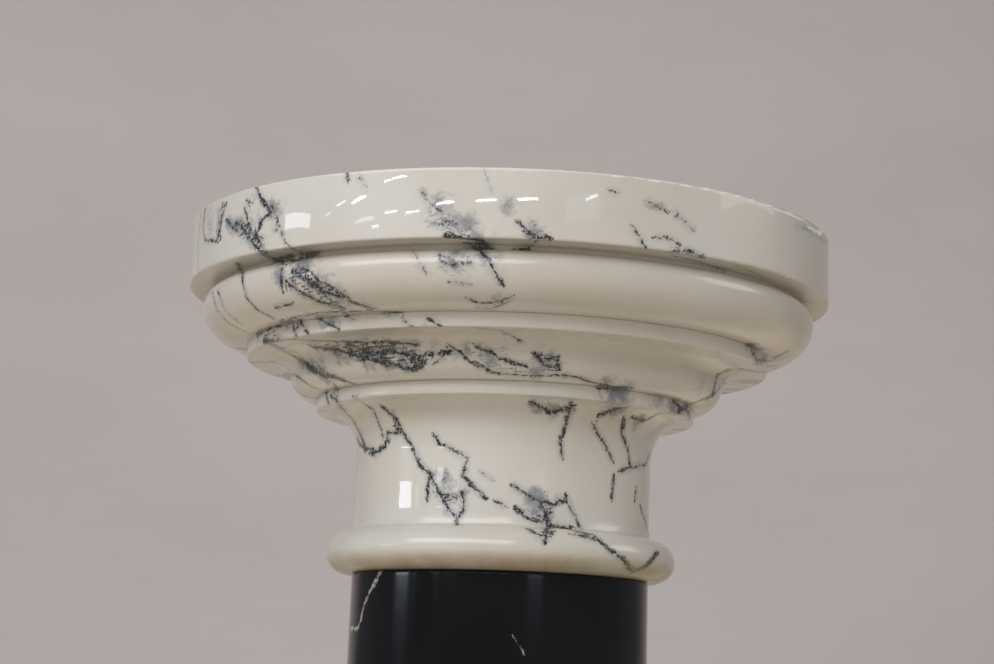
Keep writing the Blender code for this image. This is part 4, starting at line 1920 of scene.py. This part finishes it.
GLEAMS = (
    Gleam("gleam_window_high", (285, 222), (310, 222), 15.0, 11.0),
    Gleam("gleam_dash_far", (325, 216), (331, 212), 2.0, 14.0),
    Gleam("gleam_dash_far_high", (337, 206), (345, 201), 2.2, 24.0),
    Gleam("gleam_dash_one", (352, 203), (366, 196), 2.4, 60.0),
    Gleam("gleam_dash_two", (384, 182), (407, 176), 2.0, 42.0),
    Gleam("gleam_dash_three", (385, 213), (397, 211), 1.8, 40.0),
    Gleam("gleam_dash_four", (406, 213), (420, 211), 1.8, 42.0),
    Gleam("gleam_dash_five", (436, 204), (454, 202), 2.0, 58.0),
    Gleam("gleam_dash_six", (476, 201), (496, 200), 2.0, 55.0),
    Gleam("gleam_dash_seven", (518, 200), (538, 199), 2.0, 58.0),
    Gleam("gleam_low_one", (356, 222), (374, 218), 4.0, 9.0),
    Gleam("gleam_low_two", (372, 227), (379, 225), 4.0, 16.0),
    Gleam("gleam_star", (586, 200), (598, 195), 3.0, 20.0),
    Gleam("gleam_patch", (566, 211), (600, 207), 26.0, 2.0),
    Gleam("gleam_window_low", (399, 503), (411, 503), 42.0, 15.0),
    Gleam("gleam_window_slim", (415, 504), (418, 504), 34.0, 3.0),
    Gleam("gleam_fillet", (385, 321), (520, 318), 9.0, 1.8),
    Gleam("gleam_neck_one", (437, 476), (443, 476), 18.0, 9.0),
    Gleam("gleam_neck_two", (448, 482), (459, 482), 20.0, 2.5),
    Gleam("gleam_neck_soft", (531, 500), (545, 500), 60.0, 1.6),
)


def main() -> None:
    """Builds the camera, the stone pieces and the studio in order."""
    logging.basicConfig(level=logging.INFO, format="%(name)s: %(message)s")
    bpy.context.scene.view_settings.view_transform = "Standard"
    view = Viewpoint()
    view.build()
    groups = {"veins": VeinGroup().tree, "polish": PolishGroup().tree, "grime_and_shade": GrimeShadeWearGroup().tree}
    white = StoneFinish("white_marble_polished", body=(0.845, 0.828, 0.785), second=(0.805, 0.772, 0.70),
                        vein=(0.028, 0.030, 0.031), halo=(0.29, 0.31, 0.345), halo_share=0.85,
                        grime_and_shade=(0.36, 0.27, 0.13), grime_and_shade_share=0.75, worn_and_highlight=(0.90, 0.885, 0.85),
                        broken=(0.95, 0.925, 0.86), gloss=0.26, wobble=1.0, wax=0.6).build(groups)
    black = StoneFinish("black_marble_polished", body=(0.0045, 0.0050, 0.0065),
                        second=(0.0075, 0.0085, 0.0110), vein=(0.55, 0.53, 0.49),
                        halo=(0.030, 0.034, 0.040), halo_share=0.30, grime_and_shade=(0.060, 0.052, 0.040),
                        grime_and_shade_share=0.30, worn_and_highlight=(0.060, 0.060, 0.062), broken=(0.10, 0.10, 0.10),
                        gloss=0.10, wobble=0.6, wax=0.0).build(groups)
    draw = random.Random(CHANCE_SEED)
    capital = Capital("capital", Slot.WHITE, white, joint=CAPITAL_SEAT, chips=RIM_CHIPS,
                      veins=CAPITAL_VEINS, smoke=CAPITAL_SMOKE, streams=CAPITAL_STREAMS)
    surface = BVHTree.FromBMesh(capital.outline().turn(*MIRROR_STEPS))
    capital.build(view, draw)
    Shaft("shaft", Slot.BLACK, black, veins=SHAFT_VEINS, streams=SHAFT_STREAMS).build(view, draw)
    Base("base", Slot.WHITE, white, streams=BASE_STREAMS).build(view, draw)
    Plinth("plinth", Slot.BLACK, black).build(draw)
    Studio().build(view, surface, GLEAMS)


if __name__ == "__main__":
    main()
